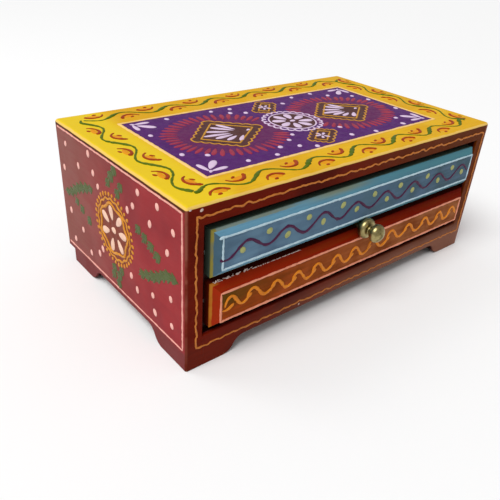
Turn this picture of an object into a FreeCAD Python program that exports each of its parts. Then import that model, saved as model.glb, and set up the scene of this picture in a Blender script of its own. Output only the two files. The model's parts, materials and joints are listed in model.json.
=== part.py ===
"""Painted wooden trinket chest with one drawer.

A low rectangular case of flat boards stands on bracket feet that are cut into its side boards and
its front apron. One drawer fills the front opening. Its front carries two bevelled panels, one
above the other, so that it looks like two drawers, and one turned brass knob sits between them.

Millimetres. +X is to the right of someone facing the drawer, +Y is to the back, +Z is up. The
origin is on the ground, under the centre of the overall footprint, knob included.
"""

import FreeCAD
import Part
import math
import os

from FreeCAD import Vector

os.makedirs("parts", exist_ok=True)

# ---- overall sizes of the case -------------------------------------------------------------
case_width = 254.0
case_depth = 147.0
case_height = 98.0

# ---- boards ---------------------------------------------------------------------------------
top_thickness = 11.5
side_thickness = 10.5
back_thickness = 9.5
floor_thickness = 8.0
apron_thickness = 10.0
rail_height = 11.2          # apron, from the top of its arch to the drawer opening
top_edge_round = 2.0        # rounding all round the upper face
corner_round = 1.2          # rounding of the upright corners
arris_round = 0.5           # broken edge round the drawer opening

# ---- bracket feet ---------------------------------------------------------------------------
foot_height = 9.3           # also the height of the arch between two feet
foot_flat = 24.0            # part of a foot that stands on the ground
ogee_width = 15.5           # length of the S-curve from the ground to the arch

# ---- drawer ---------------------------------------------------------------------------------
drawer_side_gap = 0.8
drawer_top_gap = 0.8
drawer_bottom_gap = 0.3
drawer_back_gap = 0.6
front_recess = 5.0          # face of the drawer front behind the face of the case
drawer_front_thickness = 9.0
drawer_board = 6.0          # drawer sides and drawer back
drawer_rim_drop = 6.0       # drawer sides end this far below the top of the drawer front
bottom_thickness = 3.0
bottom_height = 4.0         # underside of the drawer bottom above the edge of the drawer sides
groove_depth = 3.0
groove_gap = 0.1
liner_thickness = 1.0
liner_gap = 0.4

# ---- bevelled panels on the drawer front ------------------------------------------------------
panel_side_margin = 3.0
panel_end_margin = 3.2      # above the upper panel and below the lower one
panel_gap = 3.9             # between the two panels
panel_edge = 5.0            # straight edge, up to the bevel
bevel_rise = 3.8
bevel_width = 4.3
panel_arris_round = 0.4

# ---- knob, its screw and washer ---------------------------------------------------------------
knob_flange_radius = 6.5
knob_flange_thickness = 4.9
knob_flange_round = 0.46 * knob_flange_radius
knob_neck_radius = 2.7
knob_neck_length = 1.3
knob_cap_radius = 5.8        # the cap is an oval, a little shorter along its axis than across it
knob_cap_half_length = 4.4
knob_cap_rim_radius = 3.2
knob_stem_radius = 2.6
knob_stem_gap = 0.2
knob_seat_gap = 0.05
screw_radius = 1.5
screw_gap = 0.03
screw_hole_gap = 0.2        # where the screw passes through the drawer front
screw_bite = 10.0           # length of screw inside the knob
screw_head_radius = 2.8
screw_head_height = 1.9
screw_slot_width = 0.8
screw_slot_depth = 0.9
washer_radius = 3.6
washer_thickness = 0.6

# ---- nails ------------------------------------------------------------------------------------
nail_radius = 0.6
nail_head_radius = 1.3
nail_head_height = 0.6
nail_gap = 0.03
nail_cover = 1.5            # filler over the head of a nail that is sunk and painted over
long_nail = 24.0
short_nail = 14.0

# ---- places worked out from the sizes ---------------------------------------------------------
bevel_slope = bevel_rise / bevel_width
panel_field_lift = panel_edge + bevel_rise
flange_on_bevel = bevel_slope * (knob_flange_radius - panel_gap / 2)
knob_seat = panel_edge + min(bevel_rise, flange_on_bevel) + knob_seat_gap
neck_start = knob_seat + knob_flange_thickness
cap_rim_in = knob_cap_radius - knob_cap_rim_radius    # centre of the rim arc, from the axis
cap_rim_short = knob_cap_half_length - knob_cap_rim_radius
cap_offset = (cap_rim_in**2 - cap_rim_short**2) / (2 * cap_rim_short)
cap_face_radius = knob_cap_half_length + cap_offset
cap_meets_neck = (cap_face_radius**2 - knob_neck_radius**2) ** 0.5 - cap_offset
cap_centre = neck_start + knob_neck_length + cap_meets_neck
knob_length = cap_centre + knob_cap_half_length       # from the face of the drawer front
knob_reach = knob_length - front_recess               # in front of the case

case_left = -case_width / 2
case_right = case_width / 2
case_front = knob_reach - (case_depth + knob_reach) / 2
case_back = case_front + case_depth
board_back = case_back - back_thickness               # front face of the back board
under_top = case_height - top_thickness

opening_bottom = foot_height + rail_height
opening_left = case_left + side_thickness
opening_right = case_right - side_thickness
floor_front = case_front + apron_thickness

drawer_left = opening_left + drawer_side_gap
drawer_right = opening_right - drawer_side_gap
drawer_base = opening_bottom + drawer_bottom_gap
drawer_top = under_top - drawer_top_gap
drawer_face = case_front + front_recess
box_front = drawer_face + drawer_front_thickness      # back face of the drawer front
box_back = board_back - drawer_back_gap
drawer_rim = drawer_top - drawer_rim_drop
bottom_under = drawer_base + bottom_height
bottom_upper = bottom_under + bottom_thickness

panel_left = drawer_left + panel_side_margin
panel_right = drawer_right - panel_side_margin
panel_low = drawer_base + panel_end_margin
panel_high = drawer_top - panel_end_margin
panel_middle = (panel_low + panel_high) / 2


# ---- helpers ------------------------------------------------------------------------------------
def box(x0, x1, y0, y1, z0, z1):
    return Part.makeBox(x1 - x0, y1 - y0, z1 - z0, Vector(x0, y0, z0))


def rod(start, direction, radius, length):
    return Part.makeCylinder(radius, length, start, direction)


def edges_at(shape, test):
    """Straight edges whose two ends both pass the test."""
    return [e for e in shape.Edges if len(e.Vertexes) == 2 and all(test(v.Point) for v in e.Vertexes)]


def near(a, b):
    return abs(a - b) < 1e-4


def grown(*shapes):
    """One clean solid from shapes that touch."""
    return shapes[0].fuse(list(shapes[1:])).removeSplitter()


def compound(shapes):
    return Part.Compound(list(shapes))


def save(name, shape):
    solids = shape.Solids
    assert solids and all(s.isValid() and s.Volume > 0 for s in solids), name
    shape = solids[0] if len(solids) == 1 else Part.Compound(solids)
    shape.exportStep(f"parts/{name}.step")
    print(f"{name}: {len(solids)} solid(s), {shape.Volume / 1000:.2f} cm3")


# ---- nails: one function makes the nail, one makes the room for it ---------------------------
class Nail:
    """A round nail. point is on the outer face of the board, and direction is the way it is driven."""

    def __init__(self, point, direction, length, cover=0.0):
        self.direction = direction
        self.head = point + direction * cover
        self.length = length

    def solid(self):
        head = rod(self.head, self.direction, nail_head_radius, nail_head_height)
        shank = rod(self.head, self.direction, nail_radius, self.length)
        return grown(head, shank)

    def room(self):
        back = self.head - self.direction * nail_gap
        head = rod(back, self.direction, nail_head_radius + nail_gap, nail_head_height + 2 * nail_gap)
        shank = rod(back, self.direction, nail_radius + nail_gap, self.length + 2 * nail_gap)
        return head.fuse(shank)


def nailed(board, nails):
    return board.cut(compound(n.room() for n in nails))


def spread(low, high, count, inset):
    """count places from low to high, the outer two this far in."""
    step = (high - low - 2 * inset) / (count - 1)
    return [low + inset + i * step for i in range(count)]


def top_nails():
    down = Vector(0, 0, -1)
    end_inset = 22.0
    side_rows = [case_left + side_thickness / 2, case_right - side_thickness / 2]
    along_sides = [Vector(x, y, case_height) for x in side_rows
                   for y in spread(case_front, board_back, 3, end_inset)]
    along_back = [Vector(x, board_back + back_thickness / 2, case_height)
                  for x in spread(opening_left, opening_right, 3, end_inset)]
    return [Nail(p, down, long_nail, nail_cover) for p in along_sides + along_back]


def side_nails():
    """Through the side boards, into the ends of the floor board and the apron."""
    floor_middle = opening_bottom - floor_thickness / 2
    ends = [(case_left, Vector(1, 0, 0)), (case_right, Vector(-1, 0, 0))]
    places = spread(floor_front, board_back, 3, 20.0)
    nails = [Nail(Vector(x, y, floor_middle), way, long_nail, nail_cover)
             for x, way in ends for y in places]
    apron_middle = case_front + apron_thickness / 2
    nails += [Nail(Vector(x, apron_middle, opening_bottom - rail_height / 2), way, long_nail, nail_cover)
              for x, way in ends]
    return nails


def back_nails():
    forward = Vector(0, -1, 0)
    rows = [case_left + side_thickness / 2, case_right - side_thickness / 2]
    nails = [Nail(Vector(x, case_back, z), forward, long_nail, nail_cover)
             for x in rows for z in spread(opening_bottom, under_top - long_nail, 2, 6.0)]
    floor_middle = opening_bottom - floor_thickness / 2
    nails += [Nail(Vector(x, case_back, floor_middle), forward, long_nail, nail_cover)
              for x in spread(opening_left, opening_right, 3, 30.0)]
    return nails


def drawer_front_nails():
    """Through the drawer front into the drawer sides, under the panels."""
    rows = [drawer_left + drawer_board / 2, drawer_right - drawer_board / 2]
    heights = [(panel_low + panel_middle) / 2, (panel_middle + panel_high) / 2]
    return [Nail(Vector(x, drawer_face, z), Vector(0, 1, 0), long_nail) for x in rows for z in heights]


def drawer_back_nails():
    """Through the drawer sides into the ends of the drawer back."""
    ends = [(drawer_left, Vector(1, 0, 0)), (drawer_right, Vector(-1, 0, 0))]
    y = box_back - drawer_board / 2
    heights = spread(bottom_upper, drawer_rim, 2, 10.0)
    return [Nail(Vector(x, y, z), way, short_nail) for x, way in ends for z in heights]


def drawer_bottom_nails():
    """Up through the drawer bottom into the edge of the drawer back."""
    y = box_back - drawer_board / 2
    return [Nail(Vector(x, y, bottom_under), Vector(0, 0, 1), short_nail)
            for x in spread(drawer_left, drawer_right, 3, 25.0)]


# ---- case -----------------------------------------------------------------------------------------
def arch_outline(low, high, foot_low, foot_high):
    """Wire in (u, z): the gap between two feet, ogees at both ends, open below the ground."""
    half_run = ogee_width / 2
    half_rise = foot_height / 2
    turn_radius = (half_run**2 + half_rise**2) / (2 * half_rise)
    bulge_u = half_run / 2
    bulge_z = turn_radius - (turn_radius**2 - bulge_u**2) ** 0.5
    below = -5.0

    def ogee(toe, way):
        """Points of the two arcs, from the ground up to the arch."""
        return [
            (toe, 0.0),
            (toe + way * bulge_u, bulge_z),
            (toe + way * half_run, half_rise),
            (toe + way * (ogee_width - bulge_u), foot_height - bulge_z),
            (toe + way * ogee_width, foot_height),
        ]

    return ogee(low + foot_low, 1), ogee(high - foot_high, -1), below


def arch_cutter(low, high, foot_low, foot_high, place, sweep):
    """Solid that cuts the arch. place(u, z) gives a point on one face, and sweep goes to the other."""
    left, right, below = arch_outline(low, high, foot_low, foot_high)
    left = [place(u, z) for u, z in left]
    right = [place(u, z) for u, z in right]
    first_below = place(low + foot_low, below)
    last_below = place(high - foot_high, below)
    edges = [
        Part.LineSegment(first_below, left[0]).toShape(),
        Part.Arc(left[0], left[1], left[2]).toShape(),
        Part.Arc(left[2], left[3], left[4]).toShape(),
        Part.LineSegment(left[4], right[4]).toShape(),
        Part.Arc(right[4], right[3], right[2]).toShape(),
        Part.Arc(right[2], right[1], right[0]).toShape(),
        Part.LineSegment(right[0], last_below).toShape(),
        Part.LineSegment(last_below, first_below).toShape(),
    ]
    return Part.Face(Part.Wire(edges)).extrude(sweep)


def make_top_board(nails):
    board = box(case_left, case_right, case_front, case_back, under_top, case_height)
    uprights = [e for e in board.Edges if near(e.BoundBox.ZLength, top_thickness)]
    board = board.makeFillet(corner_round, uprights)
    rim = [e for e in board.Edges if near(e.BoundBox.ZMin, case_height)]
    board = board.makeFillet(top_edge_round, rim)
    return nailed(board, nails)


def make_side_board(outer, inner, nails):
    """outer and inner are the x of its two faces."""
    low, high = sorted((outer, inner))
    board = box(low, high, case_front, board_back, 0.0, under_top)
    corner = edges_at(board, lambda p: near(p.x, outer) and near(p.y, case_front))
    board = board.makeFillet(corner_round, corner)
    inner_corner = edges_at(board, lambda p: near(p.x, inner) and near(p.y, case_front))
    board = board.makeChamfer(arris_round, inner_corner)
    arch = arch_cutter(case_front, board_back, foot_flat, foot_flat,
                       lambda u, z: Vector(low - 1, u, z), Vector(high - low + 2, 0, 0))
    return nailed(board.cut(arch), nails)


def make_back_board(nails):
    board = box(case_left, case_right, board_back, case_back, foot_height, under_top)
    uprights = edges_at(board, lambda p: near(p.y, case_back) and near(abs(p.x), case_right))
    board = board.makeFillet(corner_round, uprights)
    return nailed(board, nails)


def make_floor_board(nails):
    board = box(opening_left, opening_right, floor_front, board_back,
                opening_bottom - floor_thickness, opening_bottom)
    return nailed(board, nails)


def make_front_apron(nails):
    board = box(opening_left, opening_right, case_front, floor_front, 0.0, opening_bottom)
    rim = edges_at(board, lambda p: near(p.y, case_front) and near(p.z, opening_bottom))
    board = board.makeChamfer(arris_round, rim)
    foot = foot_flat - side_thickness
    arch = arch_cutter(opening_left, opening_right, foot, foot,
                       lambda u, z: Vector(u, case_front - 1, z), Vector(0, apron_thickness + 2, 0))
    return nailed(board.cut(arch), nails)


# ---- drawer ---------------------------------------------------------------------------------------
def groove_cutter():
    """Room for the edges of the drawer bottom in the drawer front and sides."""
    return box(drawer_left + drawer_board - groove_depth, drawer_right - drawer_board + groove_depth,
               box_front - groove_depth, box_back + 1, bottom_under - groove_gap, bottom_upper + groove_gap)


def make_drawer_front(nails):
    board = box(drawer_left, drawer_right, drawer_face, box_front, drawer_base, drawer_top)
    hole = rod(Vector(0, drawer_face - 1, panel_middle), Vector(0, 1, 0),
               screw_radius + screw_hole_gap, drawer_front_thickness + 2)
    return nailed(board.cut(groove_cutter()).cut(hole), nails)


def make_front_panel(low, high):
    """A strip with a straight edge, a bevel all round and a flat field. low and high are in z."""
    bevel_start = drawer_face - panel_edge
    field = bevel_start - bevel_rise
    strip = box(panel_left, panel_right, bevel_start, drawer_face, low, high)

    def outline(y, inset):
        corners = [Vector(panel_left + inset, y, low + inset), Vector(panel_right - inset, y, low + inset),
                   Vector(panel_right - inset, y, high - inset), Vector(panel_left + inset, y, high - inset)]
        return Part.makePolygon(corners + corners[:1])

    raised = Part.makeLoft([outline(bevel_start, 0.0), outline(field, bevel_width)], True, True)
    panel = grown(strip, raised)
    rims = edges_at(panel, lambda p: near(p.y, field)) + edges_at(panel, lambda p: near(p.y, bevel_start))
    panel = panel.makeFillet(panel_arris_round, rims)
    stem_room = rod(Vector(0, drawer_face + 1, panel_middle), Vector(0, -1, 0),
                    knob_stem_radius + knob_stem_gap, panel_field_lift + 2)
    return panel.cut(stem_room)


def make_drawer_side(outer, inner, nails):
    low, high = sorted((outer, inner))
    board = box(low, high, box_front, box_back, drawer_base, drawer_rim)
    return nailed(board.cut(groove_cutter()), nails)


def make_drawer_back(nails):
    board = box(drawer_left + drawer_board, drawer_right - drawer_board,
                box_back - drawer_board, box_back, bottom_upper, drawer_rim)
    return nailed(board, nails)


def make_drawer_bottom(nails):
    tongue = groove_depth - groove_gap
    board = box(drawer_left + drawer_board - tongue, drawer_right - drawer_board + tongue,
                box_front - tongue, box_back, bottom_under, bottom_upper)
    return nailed(board, nails)


def make_drawer_liner():
    inset = drawer_board + liner_gap
    return box(drawer_left + inset, drawer_right - inset, box_front + liner_gap,
               box_back - inset, bottom_upper, bottom_upper + liner_thickness)


# ---- knob -----------------------------------------------------------------------------------------
def make_knob():
    """Turned about an axis along Y. Distances run forward from the face of the drawer front."""
    def place(radius, out):
        return Vector(radius, drawer_face - out, panel_middle)

    # the flange is a thick dome: one round from its seat, over its widest part, to the neck
    dome_middle = knob_flange_radius - knob_flange_round
    dome_out = neck_start - (knob_flange_round**2 - (dome_middle - knob_neck_radius) ** 2) ** 0.5
    seat_radius = dome_middle + (knob_flange_round**2 - (dome_out - knob_seat) ** 2) ** 0.5
    waist = knob_neck_radius * 0.9
    stem_foot = place(0, 0)

    def cap(angle, way):
        """Point on the front (way 1) or back (way -1) face of the cap, this far round from its axis."""
        out = cap_face_radius * math.cos(angle) - cap_offset
        return place(cap_face_radius * math.sin(angle), cap_centre + way * out)

    tangent = math.atan2(cap_rim_in, cap_offset)
    at_neck = math.asin(knob_neck_radius / cap_face_radius)
    edges = [
        Part.LineSegment(stem_foot, place(knob_stem_radius, 0)).toShape(),
        Part.LineSegment(place(knob_stem_radius, 0), place(knob_stem_radius, knob_seat)).toShape(),
        Part.LineSegment(place(knob_stem_radius, knob_seat), place(seat_radius, knob_seat)).toShape(),
        Part.Arc(place(seat_radius, knob_seat), place(knob_flange_radius, dome_out),
                 place(knob_neck_radius, neck_start)).toShape(),
        Part.Arc(place(knob_neck_radius, neck_start),
                 place(waist, neck_start + knob_neck_length / 2),
                 place(knob_neck_radius, neck_start + knob_neck_length)).toShape(),
        Part.Arc(cap(at_neck, -1), cap((at_neck + tangent) / 2, -1), cap(tangent, -1)).toShape(),
        Part.Arc(cap(tangent, -1), place(knob_cap_radius, cap_centre), cap(tangent, 1)).toShape(),
        Part.Arc(cap(tangent, 1), cap(tangent / 2, 1), place(0, knob_length)).toShape(),
        Part.LineSegment(place(0, knob_length), stem_foot).toShape(),
    ]
    turned = Part.Face(Part.Wire(edges)).revolve(stem_foot, Vector(0, 1, 0), 360)
    turned = turned if turned.Volume > 0 else turned.reversed()
    hole = rod(place(0, -1), Vector(0, -1, 0), screw_radius + screw_gap, screw_bite + 2)
    return Part.Solid(turned.Shells[0]).cut(hole)


def make_knob_washer():
    out = rod(Vector(0, box_front, panel_middle), Vector(0, 1, 0), washer_radius, washer_thickness)
    hole = rod(Vector(0, box_front - 1, panel_middle), Vector(0, 1, 0),
               screw_radius + screw_hole_gap, washer_thickness + 2)
    return out.cut(hole)


def make_knob_screw():
    seat = box_front + washer_thickness
    forward = Vector(0, -1, 0)
    shank = rod(Vector(0, seat, panel_middle), forward, screw_radius,
                washer_thickness + drawer_front_thickness + screw_bite)
    head = rod(Vector(0, seat, panel_middle), -forward, screw_head_radius, screw_head_height)
    rim = [e for e in head.Edges if near(e.BoundBox.YMin, seat + screw_head_height)]
    head = head.makeFillet(screw_head_height / 3, rim)
    slot = box(-screw_head_radius - 1, screw_head_radius + 1,
               seat + screw_head_height - screw_slot_depth, seat + screw_head_height + 1,
               panel_middle - screw_slot_width / 2, panel_middle + screw_slot_width / 2)
    return grown(shank, head).cut(slot)


# ---- build and save -------------------------------------------------------------------------------
into_top = top_nails()
into_sides = side_nails()
into_back = back_nails()
into_drawer_front = drawer_front_nails()
into_drawer_back = drawer_back_nails()
into_drawer_bottom = drawer_bottom_nails()
drawer_nails = into_drawer_front + into_drawer_back + into_drawer_bottom
case_nails = into_top + into_sides + into_back

save("top_board", make_top_board(case_nails))
save("left_side_board", make_side_board(case_left, opening_left, case_nails))
save("right_side_board", make_side_board(case_right, opening_right, case_nails))
save("back_board", make_back_board(case_nails))
save("floor_board", make_floor_board(case_nails))
save("front_apron", make_front_apron(case_nails))
save("top_nails", compound(n.solid() for n in into_top))
save("side_nails", compound(n.solid() for n in into_sides))
save("back_nails", compound(n.solid() for n in into_back))

save("drawer_front", make_drawer_front(drawer_nails))
save("upper_front_panel", make_front_panel(panel_middle + panel_gap / 2, panel_high))
save("lower_front_panel", make_front_panel(panel_low, panel_middle - panel_gap / 2))
save("drawer_left_side", make_drawer_side(drawer_left, drawer_left + drawer_board, drawer_nails))
save("drawer_right_side", make_drawer_side(drawer_right, drawer_right - drawer_board, drawer_nails))
save("drawer_back", make_drawer_back(drawer_nails))
save("drawer_bottom", make_drawer_bottom(drawer_nails))
save("drawer_liner", make_drawer_liner())
save("drawer_front_nails", compound(n.solid() for n in into_drawer_front))
save("drawer_back_nails", compound(n.solid() for n in into_drawer_back))
save("drawer_bottom_nails", compound(n.solid() for n in into_drawer_bottom))
save("knob", make_knob())
save("knob_screw", make_knob_screw())
save("knob_washer", make_knob_washer())
print(f"case front {case_front:.3f}, back {case_back:.3f}, knob reach {knob_reach:.3f}")
print(f"drawer face {drawer_face:.3f}, box {box_front:.3f} to {box_back:.3f}, rim {drawer_rim:.3f}")
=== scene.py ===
import bmesh
import bpy
import json
import math
import random
from mathutils import Euler, Matrix, Vector

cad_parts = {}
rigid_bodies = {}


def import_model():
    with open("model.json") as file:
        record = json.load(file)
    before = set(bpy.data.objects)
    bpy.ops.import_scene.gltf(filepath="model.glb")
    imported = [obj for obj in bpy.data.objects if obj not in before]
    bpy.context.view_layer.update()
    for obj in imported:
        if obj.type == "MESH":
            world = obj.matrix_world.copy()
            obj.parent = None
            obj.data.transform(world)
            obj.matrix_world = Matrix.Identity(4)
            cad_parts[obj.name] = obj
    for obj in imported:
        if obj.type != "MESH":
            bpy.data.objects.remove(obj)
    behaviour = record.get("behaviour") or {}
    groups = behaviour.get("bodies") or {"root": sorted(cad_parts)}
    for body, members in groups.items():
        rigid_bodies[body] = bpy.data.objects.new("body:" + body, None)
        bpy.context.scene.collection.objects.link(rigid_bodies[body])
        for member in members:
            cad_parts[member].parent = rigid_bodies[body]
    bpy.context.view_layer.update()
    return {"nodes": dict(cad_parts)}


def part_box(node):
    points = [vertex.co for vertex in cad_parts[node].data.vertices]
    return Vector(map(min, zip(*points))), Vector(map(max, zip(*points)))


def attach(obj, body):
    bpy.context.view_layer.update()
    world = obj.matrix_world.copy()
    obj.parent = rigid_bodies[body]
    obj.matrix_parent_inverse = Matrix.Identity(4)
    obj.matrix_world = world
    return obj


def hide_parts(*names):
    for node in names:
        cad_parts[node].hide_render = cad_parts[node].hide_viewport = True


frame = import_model()
nodes = frame["nodes"]
mm = 0.001

# the painted box, read from its boards
topLow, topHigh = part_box("top_board")
sideLow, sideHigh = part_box("left_side_board")
apronLow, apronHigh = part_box("front_apron")
drawerLow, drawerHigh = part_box("drawer_front")
upperLow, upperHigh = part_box("upper_front_panel")
lowerLow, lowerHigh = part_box("lower_front_panel")
caseLeft, caseRight = topLow.x, topHigh.x
caseFront, caseBack, caseTop = topLow.y, topHigh.y, topHigh.z
caseDepth = (caseBack - caseFront) / mm
caseWidth = (caseRight - caseLeft) / mm
fieldFront = upperLow.y          # the flat of both front panels
panelEdge = caseFront            # their outer arris, level with the case
print("frame loaded:", round(caseWidth, 1), "x", round(caseDepth, 1), "mm")


def tone(red, green, blue):
    # sRGB 0-255 to the linear colour a shader takes
    def one(v):
        v = v / 255
        return v / 12.92 if v <= 0.04045 else ((v + 0.055) / 1.055) ** 2.4
    return (one(red), one(green), one(blue), 1.0)


def addNode(tree, kind, values=None, **settings):
    made = tree.nodes.new(kind)
    for key, value in settings.items():
        setattr(made, key, value)
    for key, value in (values or {}).items():
        socket = made.inputs[key]
        if isinstance(value, bpy.types.NodeSocket):
            tree.links.new(value, socket)
        else:
            socket.default_value = value
    return made


def calc(tree, operation, a, b=0.0, clamp=False):
    return addNode(tree, "ShaderNodeMath", {0: a, 1: b}, operation=operation, use_clamp=clamp).outputs[0]


def fade(tree, value, start, end, low=0.0, high=1.0):
    # low before start, high after end, smooth between
    rising = start <= end
    made = addNode(tree, "ShaderNodeMapRange",
                   {"Value": value, "From Min": start if rising else end, "From Max": end if rising else start,
                    "To Min": low if rising else high, "To Max": high if rising else low},
                   interpolation_type="SMOOTHSTEP")
    return made.outputs[0]


def blendColour(tree, factor, a, b, how="MIX"):
    made = addNode(tree, "ShaderNodeMix", data_type="RGBA", blend_type=how)
    for socket, value in ((made.inputs[0], factor), (made.inputs[6], a), (made.inputs[7], b)):
        if isinstance(value, bpy.types.NodeSocket):
            tree.links.new(value, socket)
        else:
            socket.default_value = value
    return made.outputs[2]


def grain(tree, place, scale, detail=3.0, rough=0.55, stretch=(1, 1, 1), distortion=0.0):
    # noise on object coordinates, stretched along an axis where a brush or a saw went
    if stretch != (1, 1, 1):
        place = addNode(tree, "ShaderNodeMapping", {"Vector": place, "Scale": stretch}).outputs[0]
    made = addNode(tree, "ShaderNodeTexNoise",
                   {"Vector": place, "Scale": scale, "Detail": detail, "Roughness": rough, "Distortion": distortion})
    return made.outputs[0]


def newMaterial(name):
    made = bpy.data.materials.new(name)
    made.use_nodes = True
    tree = made.node_tree
    shader = tree.nodes["Principled BSDF"]
    place = addNode(tree, "ShaderNodeTexCoord").outputs["Object"]
    return made, tree, shader, place


def setShader(tree, shader, colour, roughness, bumps=(), **fixed):
    # bumps: (height socket, depth in mm) pairs, laid one on another
    links = {"Base Color": colour, "Roughness": roughness}
    for key, value in links.items():
        if isinstance(value, bpy.types.NodeSocket):
            tree.links.new(value, shader.inputs[key])
        else:
            shader.inputs[key].default_value = value
    normal = None
    for height, depth in bumps:
        values = {"Height": height, "Distance": depth * mm, "Strength": 1.0}
        if normal is not None:
            values["Normal"] = normal
        normal = addNode(tree, "ShaderNodeBump", values).outputs[0]
    if normal is not None:
        tree.links.new(normal, shader.inputs["Normal"])
    for key, value in fixed.items():
        shader.inputs[key.replace("_", " ")].default_value = value


woodLook = {"light": tone(196, 150, 104), "dark": tone(140, 92, 54), "pore": tone(96, 58, 32)}


def woodColour(tree, place, along="x"):
    # straight grain with a few darker growth lines
    stretch = {"x": (0.06, 1, 1), "y": (1, 0.06, 1), "z": (1, 1, 0.06)}[along]
    rings = grain(tree, place, 95, 2.0, 0.5, stretch, 0.6)
    fibre = grain(tree, place, 900, 3.0, 0.6, stretch)
    lines = fade(tree, calc(tree, "FRACT", calc(tree, "MULTIPLY", rings, 7.0)), 0.25, 0.95)
    base = blendColour(tree, lines, woodLook["light"], woodLook["dark"])
    base = blendColour(tree, fade(tree, fibre, 0.56, 0.74, 0.0, 0.55), base, woodLook["pore"])
    return base, lines, fibre


def makeWood(name, along):
    made, tree, shader, place = newMaterial(name)
    base, lines, fibre = woodColour(tree, place, along)
    setShader(tree, shader, base, fade(tree, fibre, 0.3, 0.7, 0.62, 0.78), [(lines, 0.05), (fibre, 0.08)])
    return made


casePaint = {
    "yellow": tone(228, 180, 32), "deepYellow": tone(210, 152, 26), "leftYellow": tone(232, 202, 38), "cream": tone(236, 196, 108),
    "maroon": tone(155, 51, 54), "deepMaroon": tone(133, 45, 50), "backLitMaroon": tone(135, 88, 78), "footMaroon": tone(118, 52, 52),
    "frontBrown": tone(104, 20, 2), "deepFront": tone(76, 10, 1), "rightLitFront": tone(100, 50, 0), "reflectedLightFront": tone(138, 92, 74),
    "underside": tone(46, 14, 12), "bareWood": tone(176, 128, 86), "arrisShadow": tone(84, 40, 14),
    "handEdge": 0.5,          # how far a painted edge wanders, mm
    "creamEdge": 0.7,         # width of the pale line round the top, mm
    "lipShade": tone(44, 12, 6), "wearAndHighlight": tone(150, 92, 76), "gloss": 0.03,
}


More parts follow.
